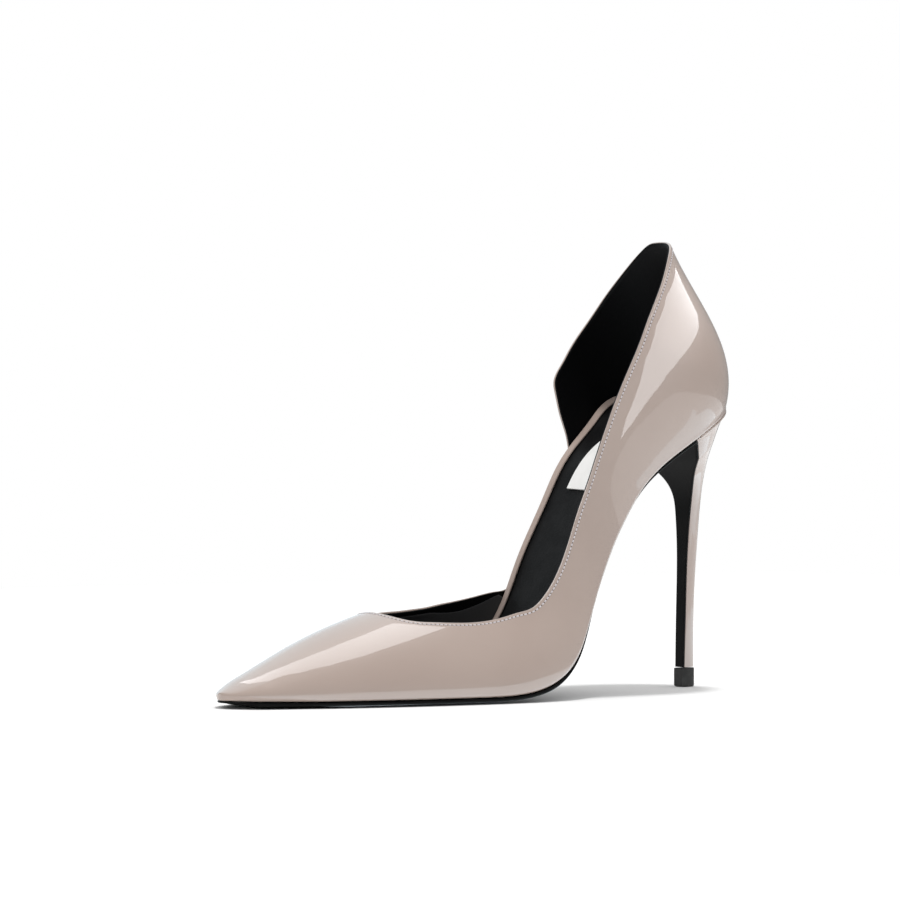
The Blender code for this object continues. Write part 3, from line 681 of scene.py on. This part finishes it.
stitch_rim, stitch_out, stitch_tangent, stitch_edge = even_path(rim_points, rim_normals, STITCH_PITCH)
skin_tree = BVHTree.FromPolygons(upper_points.tolist(), upper_cells.tolist())
nearest = [skin_tree.find_nearest(Vector(point)) for point in stitch_rim - STITCH_BELOW * stitch_edge]
stitch_places = np.array([found[0] for found in nearest])
stitch_normals = np.array([found[1] for found in nearest])
stitch_normals *= np.sign(np.sum(stitch_normals * stitch_out, axis=1, keepdims=True))
stitch_across = unit(np.cross(stitch_normals, stitch_tangent))


def add_beads(name, places, length, radius, sink, finish):
    """Row of capsules along the stitch line: rings whose radius swells as the root of a sine."""
    turn = np.linspace(0.0, np.pi, STITCH_RINGS)
    around = np.linspace(0.0, 2.0 * np.pi, STITCH_SIDES, endpoint=False)
    swell = radius * np.sqrt(np.sin(turn))[:, None]
    along = np.repeat(-0.5 * length * np.cos(turn), STITCH_SIDES)[:, None]
    out = (swell * np.cos(around)).reshape(-1, 1) - sink
    across = (swell * np.sin(around)).reshape(-1, 1)
    count = len(places)
    points = (
        places[:, None]
        + along * stitch_tangent[:count, None]
        + out * stitch_normals[:count, None]
        + across * stitch_across[:count, None]
    )
    first = np.arange(count)[:, None, None] * STITCH_RINGS * STITCH_SIDES
    cells = (grid_cells(STITCH_RINGS, STITCH_SIDES, closed=True)[None] + first).reshape(-1, 4)
    add_piece(name, points.reshape(-1, 3), cells, finish)


add_beads("topline_stitches", stitch_places, STITCH_LENGTH, STITCH_RADIUS, STITCH_SINK, thread_grey)
hole_places = 0.5 * (stitch_places[1:] + stitch_places[:-1])
# Painted shade: these beads carry the dark of the needle holes as their colour, not as real holes
hole_painted_shade = new_finish("pinhole_painted_shade", PINHOLE_PAINTED_SHADE, roughness=0.8, specular=0.1)
add_relief(hole_painted_shade, "Noise", per_metre=6000.0, depth=0.03, strength=0.5)
add_beads("topline_pinholes", hole_places, PINHOLE_LENGTH, PINHOLE_RADIUS, PINHOLE_SINK, hole_painted_shade)

# Outsole
# Black dyed sole leather, cemented under the lasted upper. Behind the shank it is thinned, bent down and
# cemented over the front of the heel as its breast cover.
OUTSOLE_TOP = -1.9
OUTSOLE_THICKNESS = 2.0
BREAST_COVER = 0.7
BREAST_STATION = 230.0
OUTSOLE_STATIONS = [0.0, 110.0, 150.0, 190.0, 212.0, 240.0]
OUTSOLE_INSETS = [0.6, 0.6, 2.8, 2.8, 1.4, 1.2]
BEND_RADIUS = 3.5
BEND_END_DEG = -50.0
BEND_HALF = 19.5
BEND_STEPS = 24
FLARE_STEPS = 8
NECK_STEPS = 24
SHAFT_STEPS = 24
NECK_Z = 62.0
BEND_DOWN = 6.0
TABLE_DOWN = 9.0
NECK_DOWN = 6.0
RISE_END = 10.0
COVER_START = 1.0
COVER_RUN = 9.5
PLATE_STEPS = 24
LEAST_ROW = 0.4
EDGE_ARC = 6
EDGE_BULGE = 0.3
SOLE_TOE_SHARE = 0.3
SOLE_TOE_RUN = 14.0
SOLE_EDGE_SHARE = 0.6
SOLE_EDGE_WIDTH = 1.0 / 6.0
WAIST_SHARE = 0.45
WAIST_START = 106.0
WAIST_RUN = 22.0
DISH_RISE = 7.0
DISH_START = 203.0
DISH_RUN = 40.0
SOLE_LOW = (0.0035, 0.0035, 0.0035)
SOLE_HIGH = (0.0055, 0.0055, 0.0055)

# Heel rings from the tip up: front and back heights and places, and the half width at the breast
Ring = namedtuple("Ring", "front_z back_z front_x back_x half")
HEEL = [
    Ring(7.3, 7.3, 199.2, 205.7, 2.1),
    Ring(30.0, 30.0, 199.8, 206.0, 2.3),
    Ring(50.0, 50.5, 200.4, 207.3, 2.6),
    Ring(64.0, 66.0, 200.7, 208.5, 3.8),
    Ring(74.0, 78.0, 199.9, 209.6, 6.4),
    Ring(79.5, 86.5, 197.6, 210.5, 10.5),
    Ring(84.0, 94.0, 194.8, 211.2, 16.0),
]


def offset_outline(station, side, inset):
    """Plan outline moved in along its normal, as station and sideways distance."""
    along, across = outline_inward(station, side)
    return station + along * inset, side * half_width(station, side) + across * inset


def dish_share(station):
    """How much of the dish of the seat is reached: a smooth step along the last."""
    return ramp((station - DISH_START) / DISH_RUN)


def seat_dish(station, y):
    """Rise of the insole in the dish of the seat: the square of the way out to its edge."""
    edge = np.where(y < 0.0, last_column("outer", station), last_column("inner", station))
    return DISH_RISE * dish_share(station) * (y / edge) ** 2


def plate_rows(outer, inner, height, steps, dished=False):
    """Rows from the inner to the outer edge at one height of the last, where they are wide enough."""
    wide = inner[1] - outer[1] > LEAST_ROW
    share = np.linspace(1.0, 0.0, steps + 1)
    station = outer[0][wide, None] * (1.0 - share) + inner[0][wide, None] * share
    y = outer[1][wide, None] * (1.0 - share) + inner[1][wide, None] * share
    return place(station, y, height + seat_dish(station, y) * dished)


def heel_column(name, front_z):
    """One column of the heel table as a spline of the height at the breast."""
    return spline([row.front_z for row in HEEL], [getattr(row, name) for row in HEEL], front_z)


def outsole_bottom():
    """Rows of the outsole's inner face along the last, set in from the outline by the table."""
    station = STATION[STATION <= BREAST_STATION]
    inset = np.interp(station, OUTSOLE_STATIONS, OUTSOLE_INSETS)
    outer = offset_outline(station, -1, inset)
    return plate_rows(outer, offset_outline(station, 1, inset), OUTSOLE_TOP, PLATE_STEPS)


def breast_path():
    """Inner face over the bend and down the breast: a round of the bend radius, a flare, the table.

    Gives each row's place at the outer edge, its half width, its rise at the inner edge and how far down
    it lies, counted as BEND_DOWN at the end of the bend and TABLE_DOWN at the top of the table."""
    end = outsole_bottom()[-1]
    angle = float(slope(BREAST_STATION))
    level = end[-1]
    centre = level[[0, 2]] + BEND_RADIUS * np.array([np.sin(angle), -np.cos(angle)])
    turn = np.linspace(0.5 * np.pi + angle, 0.5 * np.pi + np.radians(BEND_END_DEG), BEND_STEPS + 1)[1:]
    bend = centre + BEND_RADIUS * np.stack([np.cos(turn), np.sin(turn)], axis=1)
    bend_half = np.linspace(end[0, 1], BEND_HALF, BEND_STEPS + 1)[1:]
    neck_z = np.linspace(HEEL[-1].front_z, NECK_Z, NECK_STEPS + 1)
    front_z = np.concatenate([neck_z, np.linspace(NECK_Z, HEEL[0].front_z, SHAFT_STEPS + 1)[1:]])
    breast = np.stack([heel_column("front_x", front_z) + BREAST_COVER, front_z], axis=1)
    half = heel_column("half", front_z)
    step = np.linspace(0.0, 1.0, FLARE_STEPS + 1)[1:-1]
    flare = bend[-1] + step[:, None] * (breast[0] - bend[-1])
    flare_half = bend_half[-1] + step * (half[0] - bend_half[-1])
    down = np.concatenate([
        np.linspace(0.0, BEND_DOWN, BEND_STEPS + 1)[1:],
        BEND_DOWN + (TABLE_DOWN - BEND_DOWN) * step,
        TABLE_DOWN + NECK_DOWN * (HEEL[-1].front_z - front_z) / (HEEL[-1].front_z - NECK_Z),
    ])
    fade = np.clip(1.0 - down / RISE_END, 0.0, 1.0) ** 2
    rise = fade[:, None] * (end[0] - level)[[0, 2]]
    path = np.concatenate([bend, flare, breast])
    return path, np.concatenate([bend_half, flare_half, half]), rise, down


def plate_shell(face, thickness):
    """Closed plate behind a face: each row runs across it, round one edge, back and round the other.

    The edges are half ellipses as high as the plate and a little of that wide."""
    normal = unit(np.cross(np.gradient(face, axis=1), np.gradient(face, axis=0)))
    thickness = np.broadcast_to(thickness, face.shape[:2])[:, :, None]
    back = face - normal * thickness
    turn = np.linspace(0.0, np.pi, EDGE_ARC + 1)[1:-1, None]
    loops = [face]
    for edge, beside in ((-1, -2), (0, 1)):
        out = unit(face[:, edge] - face[:, beside])[:, None]
        deep = thickness[:, edge, None]
        centre = face[:, edge, None] - 0.5 * deep * normal[:, edge, None]
        lift = 0.5 * deep * (np.cos(turn) if edge < 0 else -np.cos(turn))
        loops.append(centre + lift * normal[:, edge, None] + EDGE_BULGE * deep * np.sin(turn) * out)
        loops.append(back[:, ::-1])
    return np.concatenate(loops[:-1], axis=1)


sole_black = new_finish("sole_black", SOLE_LOW, roughness=0.38, specular=0.06)
add_tone(sole_black, SOLE_LOW, SOLE_HIGH, per_metre=90.0)
add_relief(sole_black, "Noise", per_metre=900.0, depth=0.05, strength=0.25)
sole_bottom = outsole_bottom()
breast_places, breast_half, breast_rise, breast_down = breast_path()
across = np.linspace(1.0, 0.0, PLATE_STEPS + 1)
breast_face = np.stack([
    breast_places[:, :1] + breast_rise[:, :1] * across,
    breast_half[:, None] * (2.0 * across - 1.0),
    breast_places[:, 1:] + breast_rise[:, 1:] * across,
], axis=-1)
cover_end = BREAST_COVER / OUTSOLE_THICKNESS
cover_share = WAIST_SHARE + (cover_end - WAIST_SHARE) * ramp((breast_down - COVER_START) / COVER_RUN)
from_toe = sole_bottom[:, 0, 0]
sole_full = ramp((from_toe - LAST_START) / SOLE_TOE_RUN)
sole_drawn = ramp((from_toe - WAIST_START) / WAIST_RUN)
toe_share = SOLE_TOE_SHARE + (1.0 - SOLE_TOE_SHARE) * sole_full
waist_share = 1.0 - (1.0 - WAIST_SHARE) * sole_drawn
edge_near = np.clip(1.0 - np.minimum(across, 1.0 - across) / SOLE_EDGE_WIDTH, 0.0, 1.0)
edge_share = 1.0 - (1.0 - SOLE_EDGE_SHARE) * (sole_full * (1.0 - sole_drawn))[:, None] * edge_near
sole_share = np.concatenate([
    (toe_share * waist_share)[:, None] * edge_share,
    np.repeat(cover_share[:, None], len(across), axis=1),
])
sole_thickness = OUTSOLE_THICKNESS * sole_share
sole_rings = plate_shell(np.concatenate([sole_bottom, breast_face]), sole_thickness)
outsole = add_tube("outsole_leather", sole_rings, sole_black, sharp_deg=50.0)
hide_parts("outsole")

# Insole
# Lasting board under a black leather sock, bent to the last. It closes the upper from inside, and its
# inner edge is free where the upper is cut away at the arch.
INSOLE_TOP = 2.5
INSOLE_BOTTOM = 0.1
INSOLE_INSET = 1.7
INSOLE_INNER = 1.5
INSOLE_START = 13.0
INSOLE_TOE_RUN = 12.0
INSOLE_VAMP_INSET = 1.2
INSOLE_VAMP_RUN = 70.0
DISH_FLARE = 1.2
DISH_CLEARANCE = 0.9
SOCK_LOW = (0.008, 0.008, 0.0083)
SOCK_HIGH = (0.013, 0.013, 0.0134)
sock_black = new_finish("sock_black", SOCK_LOW, roughness=0.46, specular=0.06)
add_tone(sock_black, SOCK_LOW, SOCK_HIGH, per_metre=120.0)
add_relief(sock_black, "Voronoi", per_metre=1500.0, depth=0.12, strength=0.5)
sock_station = STATION[STATION > INSOLE_START]
sock_inset = INSOLE_INSET + INSOLE_VAMP_INSET * (1.0 - ramp(sock_station / INSOLE_VAMP_RUN))
toe = np.clip((sock_station - INSOLE_START) / INSOLE_TOE_RUN, 0.0, 1.0)
toe_round = np.sqrt(1.0 - (1.0 - toe) ** 2)
sock_outer = offset_outline(sock_station, -1, sock_inset)
sock_widened = (DISH_FLARE - DISH_CLEARANCE) * dish_share(sock_station)
sock_inner = offset_outline(sock_station, 1, sock_inset + INSOLE_INNER - sock_widened)
sock_face = plate_rows(
    (sock_outer[0], sock_outer[1] * toe_round),
    (sock_inner[0], sock_inner[1] * toe_round),
    INSOLE_TOP,
    PLATE_STEPS,
    dished=True,
)
sock_rings = plate_shell(sock_face, INSOLE_TOP - INSOLE_BOTTOM)
insole = add_tube("insole_sock", sock_rings, sock_black, sharp_deg=60.0)
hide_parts("insole")

# Arch binding
# A strip of the nude leather with a satin face, folded over the free inner edge of the insole and
# cemented, so the board does not show where the upper is cut away.
BINDING_START = 112.0
BINDING_END = 247.0
BINDING_FACE = 1.7
BINDING_TOP = 3.6
BINDING_THICKNESS = 0.8
BINDING_FLAP = 2.7
BINDING_TAPER = 0.3
BINDING_ROUND = 0.7
BINDING_CORNER_POINTS = 6
BINDING_LIP_POINTS = 7
nude_satin = new_finish("nude_satin", NUDE_LOW, roughness=0.5, specular=0.2)
add_tone(nude_satin, NUDE_LOW, NUDE_HIGH, NUDE_PER_METRE)
add_relief(nude_satin, "Noise", per_metre=1800.0, depth=0.02, strength=0.2)
strip_station = STATION[(STATION > BINDING_START) & (STATION < BINDING_END)]
corner = np.linspace(0.0, 0.5 * np.pi, BINDING_CORNER_POINTS)
lip = np.linspace(0.5 * np.pi, -0.5 * np.pi, BINDING_LIP_POINTS)
strip_profile = np.concatenate([
    [[BINDING_FACE, INSOLE_BOTTOM], [BINDING_FACE, 0.5 * BINDING_TOP]],
    np.stack([
        BINDING_FACE + BINDING_ROUND * (1.0 - np.cos(corner)),
        BINDING_TOP - BINDING_ROUND * (1.0 - np.sin(corner)),
    ], axis=1),
    np.stack([
        BINDING_FACE + BINDING_FLAP + 0.5 * BINDING_THICKNESS * np.cos(lip),
        BINDING_TOP - 0.5 * BINDING_THICKNESS * (1.0 - np.sin(lip)),
    ], axis=1),
    [[BINDING_FACE + BINDING_THICKNESS, BINDING_TOP - BINDING_THICKNESS]],
    [[BINDING_FACE + BINDING_THICKNESS, INSOLE_BOTTOM]],
])
strip_dish = dish_share(strip_station)[:, None]
strip_flap = np.clip(strip_profile[:, 0] - BINDING_FACE - BINDING_THICKNESS, 0.0, None)
strip_inset = strip_profile[:, 0] - (DISH_FLARE + BINDING_TAPER * strip_flap) * strip_dish
strip_along, strip_across = offset_outline(strip_station[:, None], 1, strip_inset)
strip_height = strip_profile[:, 1] + seat_dish(strip_along, strip_across)
strip_rings = place(strip_along, strip_across, strip_height)
binding = add_tube("arch_binding_strip", strip_rings, nude_satin, sharp_deg=60.0)
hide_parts("arch_binding")

# Heel pad
# A band of smooth white leather cemented on the sock under the heel of the foot, straight in front and
# rounded behind.
PAD_START = 192.5
PAD_END = 252.0
PAD_HALF = 8.5
PAD_CENTRE = -2.0
PAD_ROUND = 12.0
PAD_TOP = 3.4
PAD_THICKNESS = 0.6
PAD_STRAIGHT_STEPS = 60
PAD_ROUND_STEPS = 24
PAD_LOW = (0.80, 0.79, 0.77)
PAD_HIGH = (0.86, 0.85, 0.835)
pad_white = new_finish("pad_white", PAD_LOW, roughness=0.5, specular=0.3)
add_tone(pad_white, PAD_LOW, PAD_HIGH, per_metre=140.0)
add_relief(pad_white, "Voronoi", per_metre=2200.0, depth=0.05, strength=0.3)
straight = np.linspace(PAD_START, PAD_END - PAD_ROUND, PAD_STRAIGHT_STEPS + 1)
turn = np.linspace(0.0, 0.5 * np.pi, PAD_ROUND_STEPS + 1)[1:]
pad_station = np.concatenate([straight, straight[-1] + PAD_ROUND * np.sin(turn)])
pad_half = PAD_HALF * np.concatenate([np.ones_like(straight), np.cos(turn)])
pad_outer = (pad_station, PAD_CENTRE - pad_half)
pad_inner = (pad_station, PAD_CENTRE + pad_half)
pad_face = plate_rows(pad_outer, pad_inner, PAD_TOP, PLATE_STEPS, dished=True)
pad_rings = plate_shell(pad_face, PAD_THICKNESS)
pad = add_tube("heel_pad_leather", pad_rings, pad_white, sharp_deg=60.0)
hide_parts("heel_pad")

# Heel
# A slim moulded heel, wrapped in the same nude patent leather, with a flared cup that follows the seat
# of the upper. It is screwed on through the seat, and its cover is glued in behind the breast.
HEEL_ARC = 48
HEEL_GAP = 0.3
SEAT_FRONT = 2.4
SEAT_INSET = 1.4
SEAT_LEVEL = -1.95
CUP_ROWS = 24
CUP_POWER = 1.5
CUP_END = 5.0 / 9.0
turn = np.linspace(-0.5 * np.pi, 0.5 * np.pi, HEEL_ARC + 1)
heel_back = np.cos(turn)


def seat_line(inset, level):
    """Line round the seat behind the breast: the outline set in, at one level below the feather edge."""
    first = BREAST_STATION + SEAT_FRONT
    station = first + (LAST_END - first) * heel_back
    outer = place(*offset_outline(station, -1, inset), level)
    inner = place(*offset_outline(station, 1, inset), level)
    return np.where((np.arange(HEEL_ARC + 1) < HEEL_ARC // 2)[:, None], outer, inner)


def heel_rings():
    """Rings from tip to seat: a flat breast closed by half an ellipse, blended above to the seat line."""
    path, half, rise, down = (each[::-1] for each in breast_path())
    seat = seat_line(SEAT_INSET, SEAT_LEVEL)
    heading = unit(np.gradient(path, axis=0))
    front = path + HEEL_GAP * np.stack([heading[:, 1], -heading[:, 0]], axis=1)
    lower = down >= TABLE_DOWN
    cup = np.clip((TABLE_DOWN - down) / TABLE_DOWN, 0.0, 1.0)
    rear = seat[len(seat) // 2]
    cup_x = HEEL[-1].back_x + (rear[0] - HEEL[-1].back_x) * cup**CUP_POWER
    cup_z = HEEL[-1].back_z + (rear[2] - HEEL[-1].back_z) * cup
    rear_x = np.where(lower, heel_column("back_x", path[:, 1]), cup_x)
    rear_z = np.where(lower, heel_column("back_z", path[:, 1]), cup_z)
    tilt = 0.5 * (1.0 + np.sin(turn)) * (1.0 - heel_back)
    x = front[:, :1] + rise[:, :1] * tilt + (rear_x[:, None] - front[:, :1]) * heel_back
    z = front[:, 1:] + rise[:, 1:] * tilt + (rear_z[:, None] - front[:, 1:]) * heel_back
    rings = np.stack([x, half[:, None] * np.sin(turn), z], axis=-1)
    top = rings[np.sum(lower) - 1]
    straight = top + (seat - top) * cup[:, None, None]
    weight = np.sqrt(heel_back)[None, :, None] * ~lower[:, None, None]
    rings = (rings * (1.0 - weight) + straight * weight)[cup <= CUP_END]
    step = np.linspace(0.0, 1.0, CUP_ROWS + 1)[1:, None, None]
    return np.concatenate([rings, rings[-1] + (seat - rings[-1]) * step])


heel_rows = heel_rings()
heel = add_tube("heel_cover", heel_rows, nude_patent, sharp_deg=50.0)
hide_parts("heel")

# Seat rand
# A fine cord of the nude leather pressed into the joint between the upper and the heel cup.
RAND_RADIUS = 0.45
RAND_INSET = 0.9
RAND_LEVEL = -1.75
RAND_STEP = 0.6
RAND_SIDES = 8
rand_line = seat_line(RAND_INSET, RAND_LEVEL)
rand_up = unit(seat_line(RAND_INSET, RAND_LEVEL + 1.0) - rand_line)
rand_points, rand_first, _, rand_second = even_path(rand_line, rand_up, RAND_STEP)
around = np.linspace(0.0, 2.0 * np.pi, RAND_SIDES, endpoint=False)
rand_profile = RAND_RADIUS * np.stack([np.cos(around), np.sin(around)], axis=1)
rand_rings = swept(rand_points, rand_first, rand_second, rand_profile)
add_tube("seat_rand", rand_rings, nude_patent)

# Top piece
# A dark rubber lift with a steel pin inside, pushed up into the heel tip. Its lower edge is rounded.
TIP_BACK = 206.1
TIP_HALF = 2.5
TIP_HEIGHT = 7.0
TIP_ROUND = 0.7
TIP_SEAM = 0.2
TIP_ROWS = 6
TIP_LOW = (0.030, 0.030, 0.029)
TIP_HIGH = (0.044, 0.044, 0.043)
tip_grey = new_finish("tip_grey", TIP_LOW, roughness=0.55, specular=0.25)
add_tone(tip_grey, TIP_LOW, TIP_HIGH, per_metre=400.0)
add_relief(tip_grey, "Noise", per_metre=2500.0, depth=0.06, strength=0.4)
tip_ring = np.stack([
    TIP_FRONT + (TIP_BACK - TIP_FRONT) * heel_back,
    TIP_HALF * np.sin(turn),
    np.zeros_like(turn),
], axis=-1)
tip_middle = tip_ring.mean(axis=0)
round_turn = np.linspace(0.0, 0.5 * np.pi, TIP_ROWS + 1)
tip_z = np.concatenate([TIP_ROUND * (1.0 - np.cos(round_turn)), [TIP_HEIGHT - TIP_SEAM, TIP_HEIGHT]])
tip_draw = np.concatenate([TIP_ROUND * (1.0 - np.sin(round_turn)), [0.0, TIP_SEAM]])
tip_scale = (1.0 - tip_draw / TIP_HALF)[:, None, None] * np.array([1.0, 1.0, 0.0])
tip_rows = tip_middle + (tip_ring - tip_middle) * tip_scale
tip_rows[:, :, 2] = tip_z[:, None]
tip = add_tube("top_piece_rubber", tip_rows, tip_grey, sharp_deg=50.0)
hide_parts("top_piece")

# Floor and light
# A plain pale floor in a pale surround, under one soft overhead light. Lit cards that only gloss mirrors
# give the streak along the vamp, the bright field on the counter, the sheen of the toe and the low band.
FLOOR_HALF = 1.1
FLOOR_WHITE = (0.9, 0.9, 0.9)
floor_finish = new_finish("floor_pale", FLOOR_WHITE, roughness=0.9, specular=0.0)
floor_mesh = bpy.data.meshes.new("floor")
floor_corners = FLOOR_HALF * np.array([[-1.0, -1.0], [1.0, -1.0], [1.0, 1.0], [-1.0, 1.0]])
floor_mesh.from_pydata(np.pad(floor_corners, ((0, 0), (0, 1))), [], [[0, 1, 2, 3]])
floor_mesh.materials.append(floor_finish)
floor = bpy.data.objects.new("floor", floor_mesh)
bpy.context.scene.collection.objects.link(floor)

# Brightness of the surround: as the camera sees it, as gloss mirrors it, and as it lights everything
BACKDROP = 1.0
MIRRORED = 0.3
SURROUND = 0.84
world = bpy.data.worlds.new("surround")
world.use_nodes = True
world_nodes = world.node_tree.nodes
world_links = world.node_tree.links
surround = world_nodes["Background"]
surround.inputs["Strength"].default_value = SURROUND
surround.inputs["Color"].default_value = (1.0, 1.0, 1.0, 1.0)
ray_kind = world_nodes.new("ShaderNodeLightPath")
seen = surround
for ray, strength in (("Is Glossy Ray", MIRRORED), ("Is Camera Ray", BACKDROP)):
    other = world_nodes.new("ShaderNodeBackground")
    other.inputs["Color"].default_value = (1.0, 1.0, 1.0, 1.0)
    other.inputs["Strength"].default_value = strength
    choice = world_nodes.new("ShaderNodeMixShader")
    world_links.new(ray_kind.outputs[ray], choice.inputs[0])
    world_links.new(seen.outputs[0], choice.inputs[1])
    world_links.new(other.outputs[0], choice.inputs[2])
    seen = choice
world_links.new(seen.outputs[0], world_nodes["World Output"].inputs["Surface"])
bpy.context.scene.world = world


def stand_off(aim, bearing_deg, height_deg, distance):
    """Place at a distance from a point of the last, by bearing and height, and the turn that faces it."""
    bearing, height = np.radians([bearing_deg, height_deg])
    level = np.cos(height)
    towards = np.array([np.sin(bearing) * level, -np.cos(bearing) * level, np.sin(height)])
    place_there = (np.array(aim) + distance * towards) * MM + SHIFT
    return place_there, Vector(towards).to_track_quat("Z", "Y")


# Key light: straight above, a soft square that lights the floor and the upward faces but is not mirrored
KEY_AIM = (105.0, 0.0, 0.0)
KEY_BEARING_DEG = 90.0
KEY_HEIGHT_DEG = 84.0
KEY_DISTANCE = 3000.0
KEY_SIDE = 280.0
KEY_POWER = 42.0
key_data = bpy.data.lights.new("key_light", "AREA")
key_data.size = KEY_SIDE * MM
key_data.energy = KEY_POWER
key = bpy.data.objects.new("key_light", key_data)
key.location, key_facing = stand_off(KEY_AIM, KEY_BEARING_DEG, KEY_HEIGHT_DEG, KEY_DISTANCE)
key.rotation_euler = key_facing.to_euler()
key.visible_camera = False
key.visible_glossy = False
bpy.context.scene.collection.objects.link(key)

# Glow cards: lit cards close to the shoe, cut so that their mirror images on the patent leather have the
# photograph's shapes. Each has the point it faces, its bearing, height and distance, its brightness,
# its tint and its corners.
Card = namedtuple("Card", "name aim bearing height distance glow tint corners")
CARD_WHITE = (0.96, 0.98, 1.0)
CARD_COOL = (0.84, 0.94, 1.0)
CARD_BLACK = (0.0, 0.0, 0.0)
CARDS = [
    Card("vamp_card", (38.0, -13.0, 17.0), 150.0, 75.0, 110.0, 4.2, CARD_WHITE, [
        (-27, -34), (-48, -14), (-67, -1), (-57, 15), (-45, 32), (-29, 49), (-5, 54), (17, 41),
        (41, -5), (63, -36), (72, -88), (55, -55), (39, -25), (28, -15), (10, -11), (-11, -19),
    ]),
    Card("counter_card", (171.0, -26.0, 122.0), 60.0, 20.0, 60.0, 5.0, CARD_WHITE, [
        (41, 30), (36, 23), (32, 11), (20, 4), (6, -2), (-19, -15), (-39, -28), (-43, -39),
        (-47, -54), (-50, -59), (-52, -48), (-51, -26), (-50, -11), (-46, -1), (-34, 9), (-3, 22),
    ]),
    Card("back_card", (40.0, -10.0, 17.0), 165.0, 40.0, 700.0, 1.1, CARD_COOL, [
        (-450, -640), (450, -640), (450, 500), (-450, 500),
    ]),
    Card("floor_card", (100.0, -140.0, 0.0), 0.0, 90.0, 0.4, 2.4, CARD_COOL, [
        (1400, -120), (-200, -120), (-380, -200), (-620, -180), (-620, 60), (-451, 112), (-500, 160),
        (-504, 208), (-390, 124), (-340, 100), (-300, 100), (-300, 700), (1400, 700),
    ]),
]
for card in CARDS:
    card_finish = new_finish(card.name, CARD_BLACK, roughness=1.0, specular=0.0)
    card_shader = card_finish.node_tree.nodes["Principled BSDF"]
    card_shader.inputs["Emission Color"].default_value = (*card.tint, 1.0)
    card_shader.inputs["Emission Strength"].default_value = card.glow
    card_mesh = bpy.data.meshes.new(card.name)
    card_corners = np.pad(MM * np.array(card.corners, float), ((0, 0), (0, 1)))
    card_mesh.from_pydata(card_corners, [], [list(range(len(card_corners)))])
    card_mesh.materials.append(card_finish)
    panel = bpy.data.objects.new(card.name, card_mesh)
    panel.location, card_facing = stand_off(card.aim, card.bearing, card.height, card.distance)
    panel.rotation_euler = card_facing.to_euler()
    panel.visible_camera = False
    panel.visible_diffuse = False
    panel.visible_shadow = False
    bpy.context.scene.collection.objects.link(panel)

# Camera
# Level with the instep, to the outer side and ahead of the toe, with a long lens.
CAMERA_TARGET = np.array([96.2, 0.2, 86.8])
CAMERA_TURN_DEG = -35.0
CAMERA_RISE_DEG = -0.6
CAMERA_DISTANCE = 1100.0
CAMERA_LENS = 125.5
CAMERA_SENSOR = 36.0
camera_turn = np.radians(CAMERA_TURN_DEG)
camera_rise = np.radians(CAMERA_RISE_DEG)
camera_back = np.array([
    np.sin(camera_turn) * np.cos(camera_rise),
    -np.cos(camera_turn) * np.cos(camera_rise),
    np.sin(camera_rise),
])
camera_data = bpy.data.cameras.new("camera")
camera_data.lens = CAMERA_LENS
camera_data.sensor_width = CAMERA_SENSOR
camera = bpy.data.objects.new("camera", camera_data)
camera.location = (CAMERA_TARGET + CAMERA_DISTANCE * camera_back) * MM + SHIFT
camera.rotation_euler = Vector(camera_back).to_track_quat("Z", "Y").to_euler()
bpy.context.scene.collection.objects.link(camera)
bpy.context.scene.camera = camera
bpy.context.scene.view_settings.view_transform = "Standard"
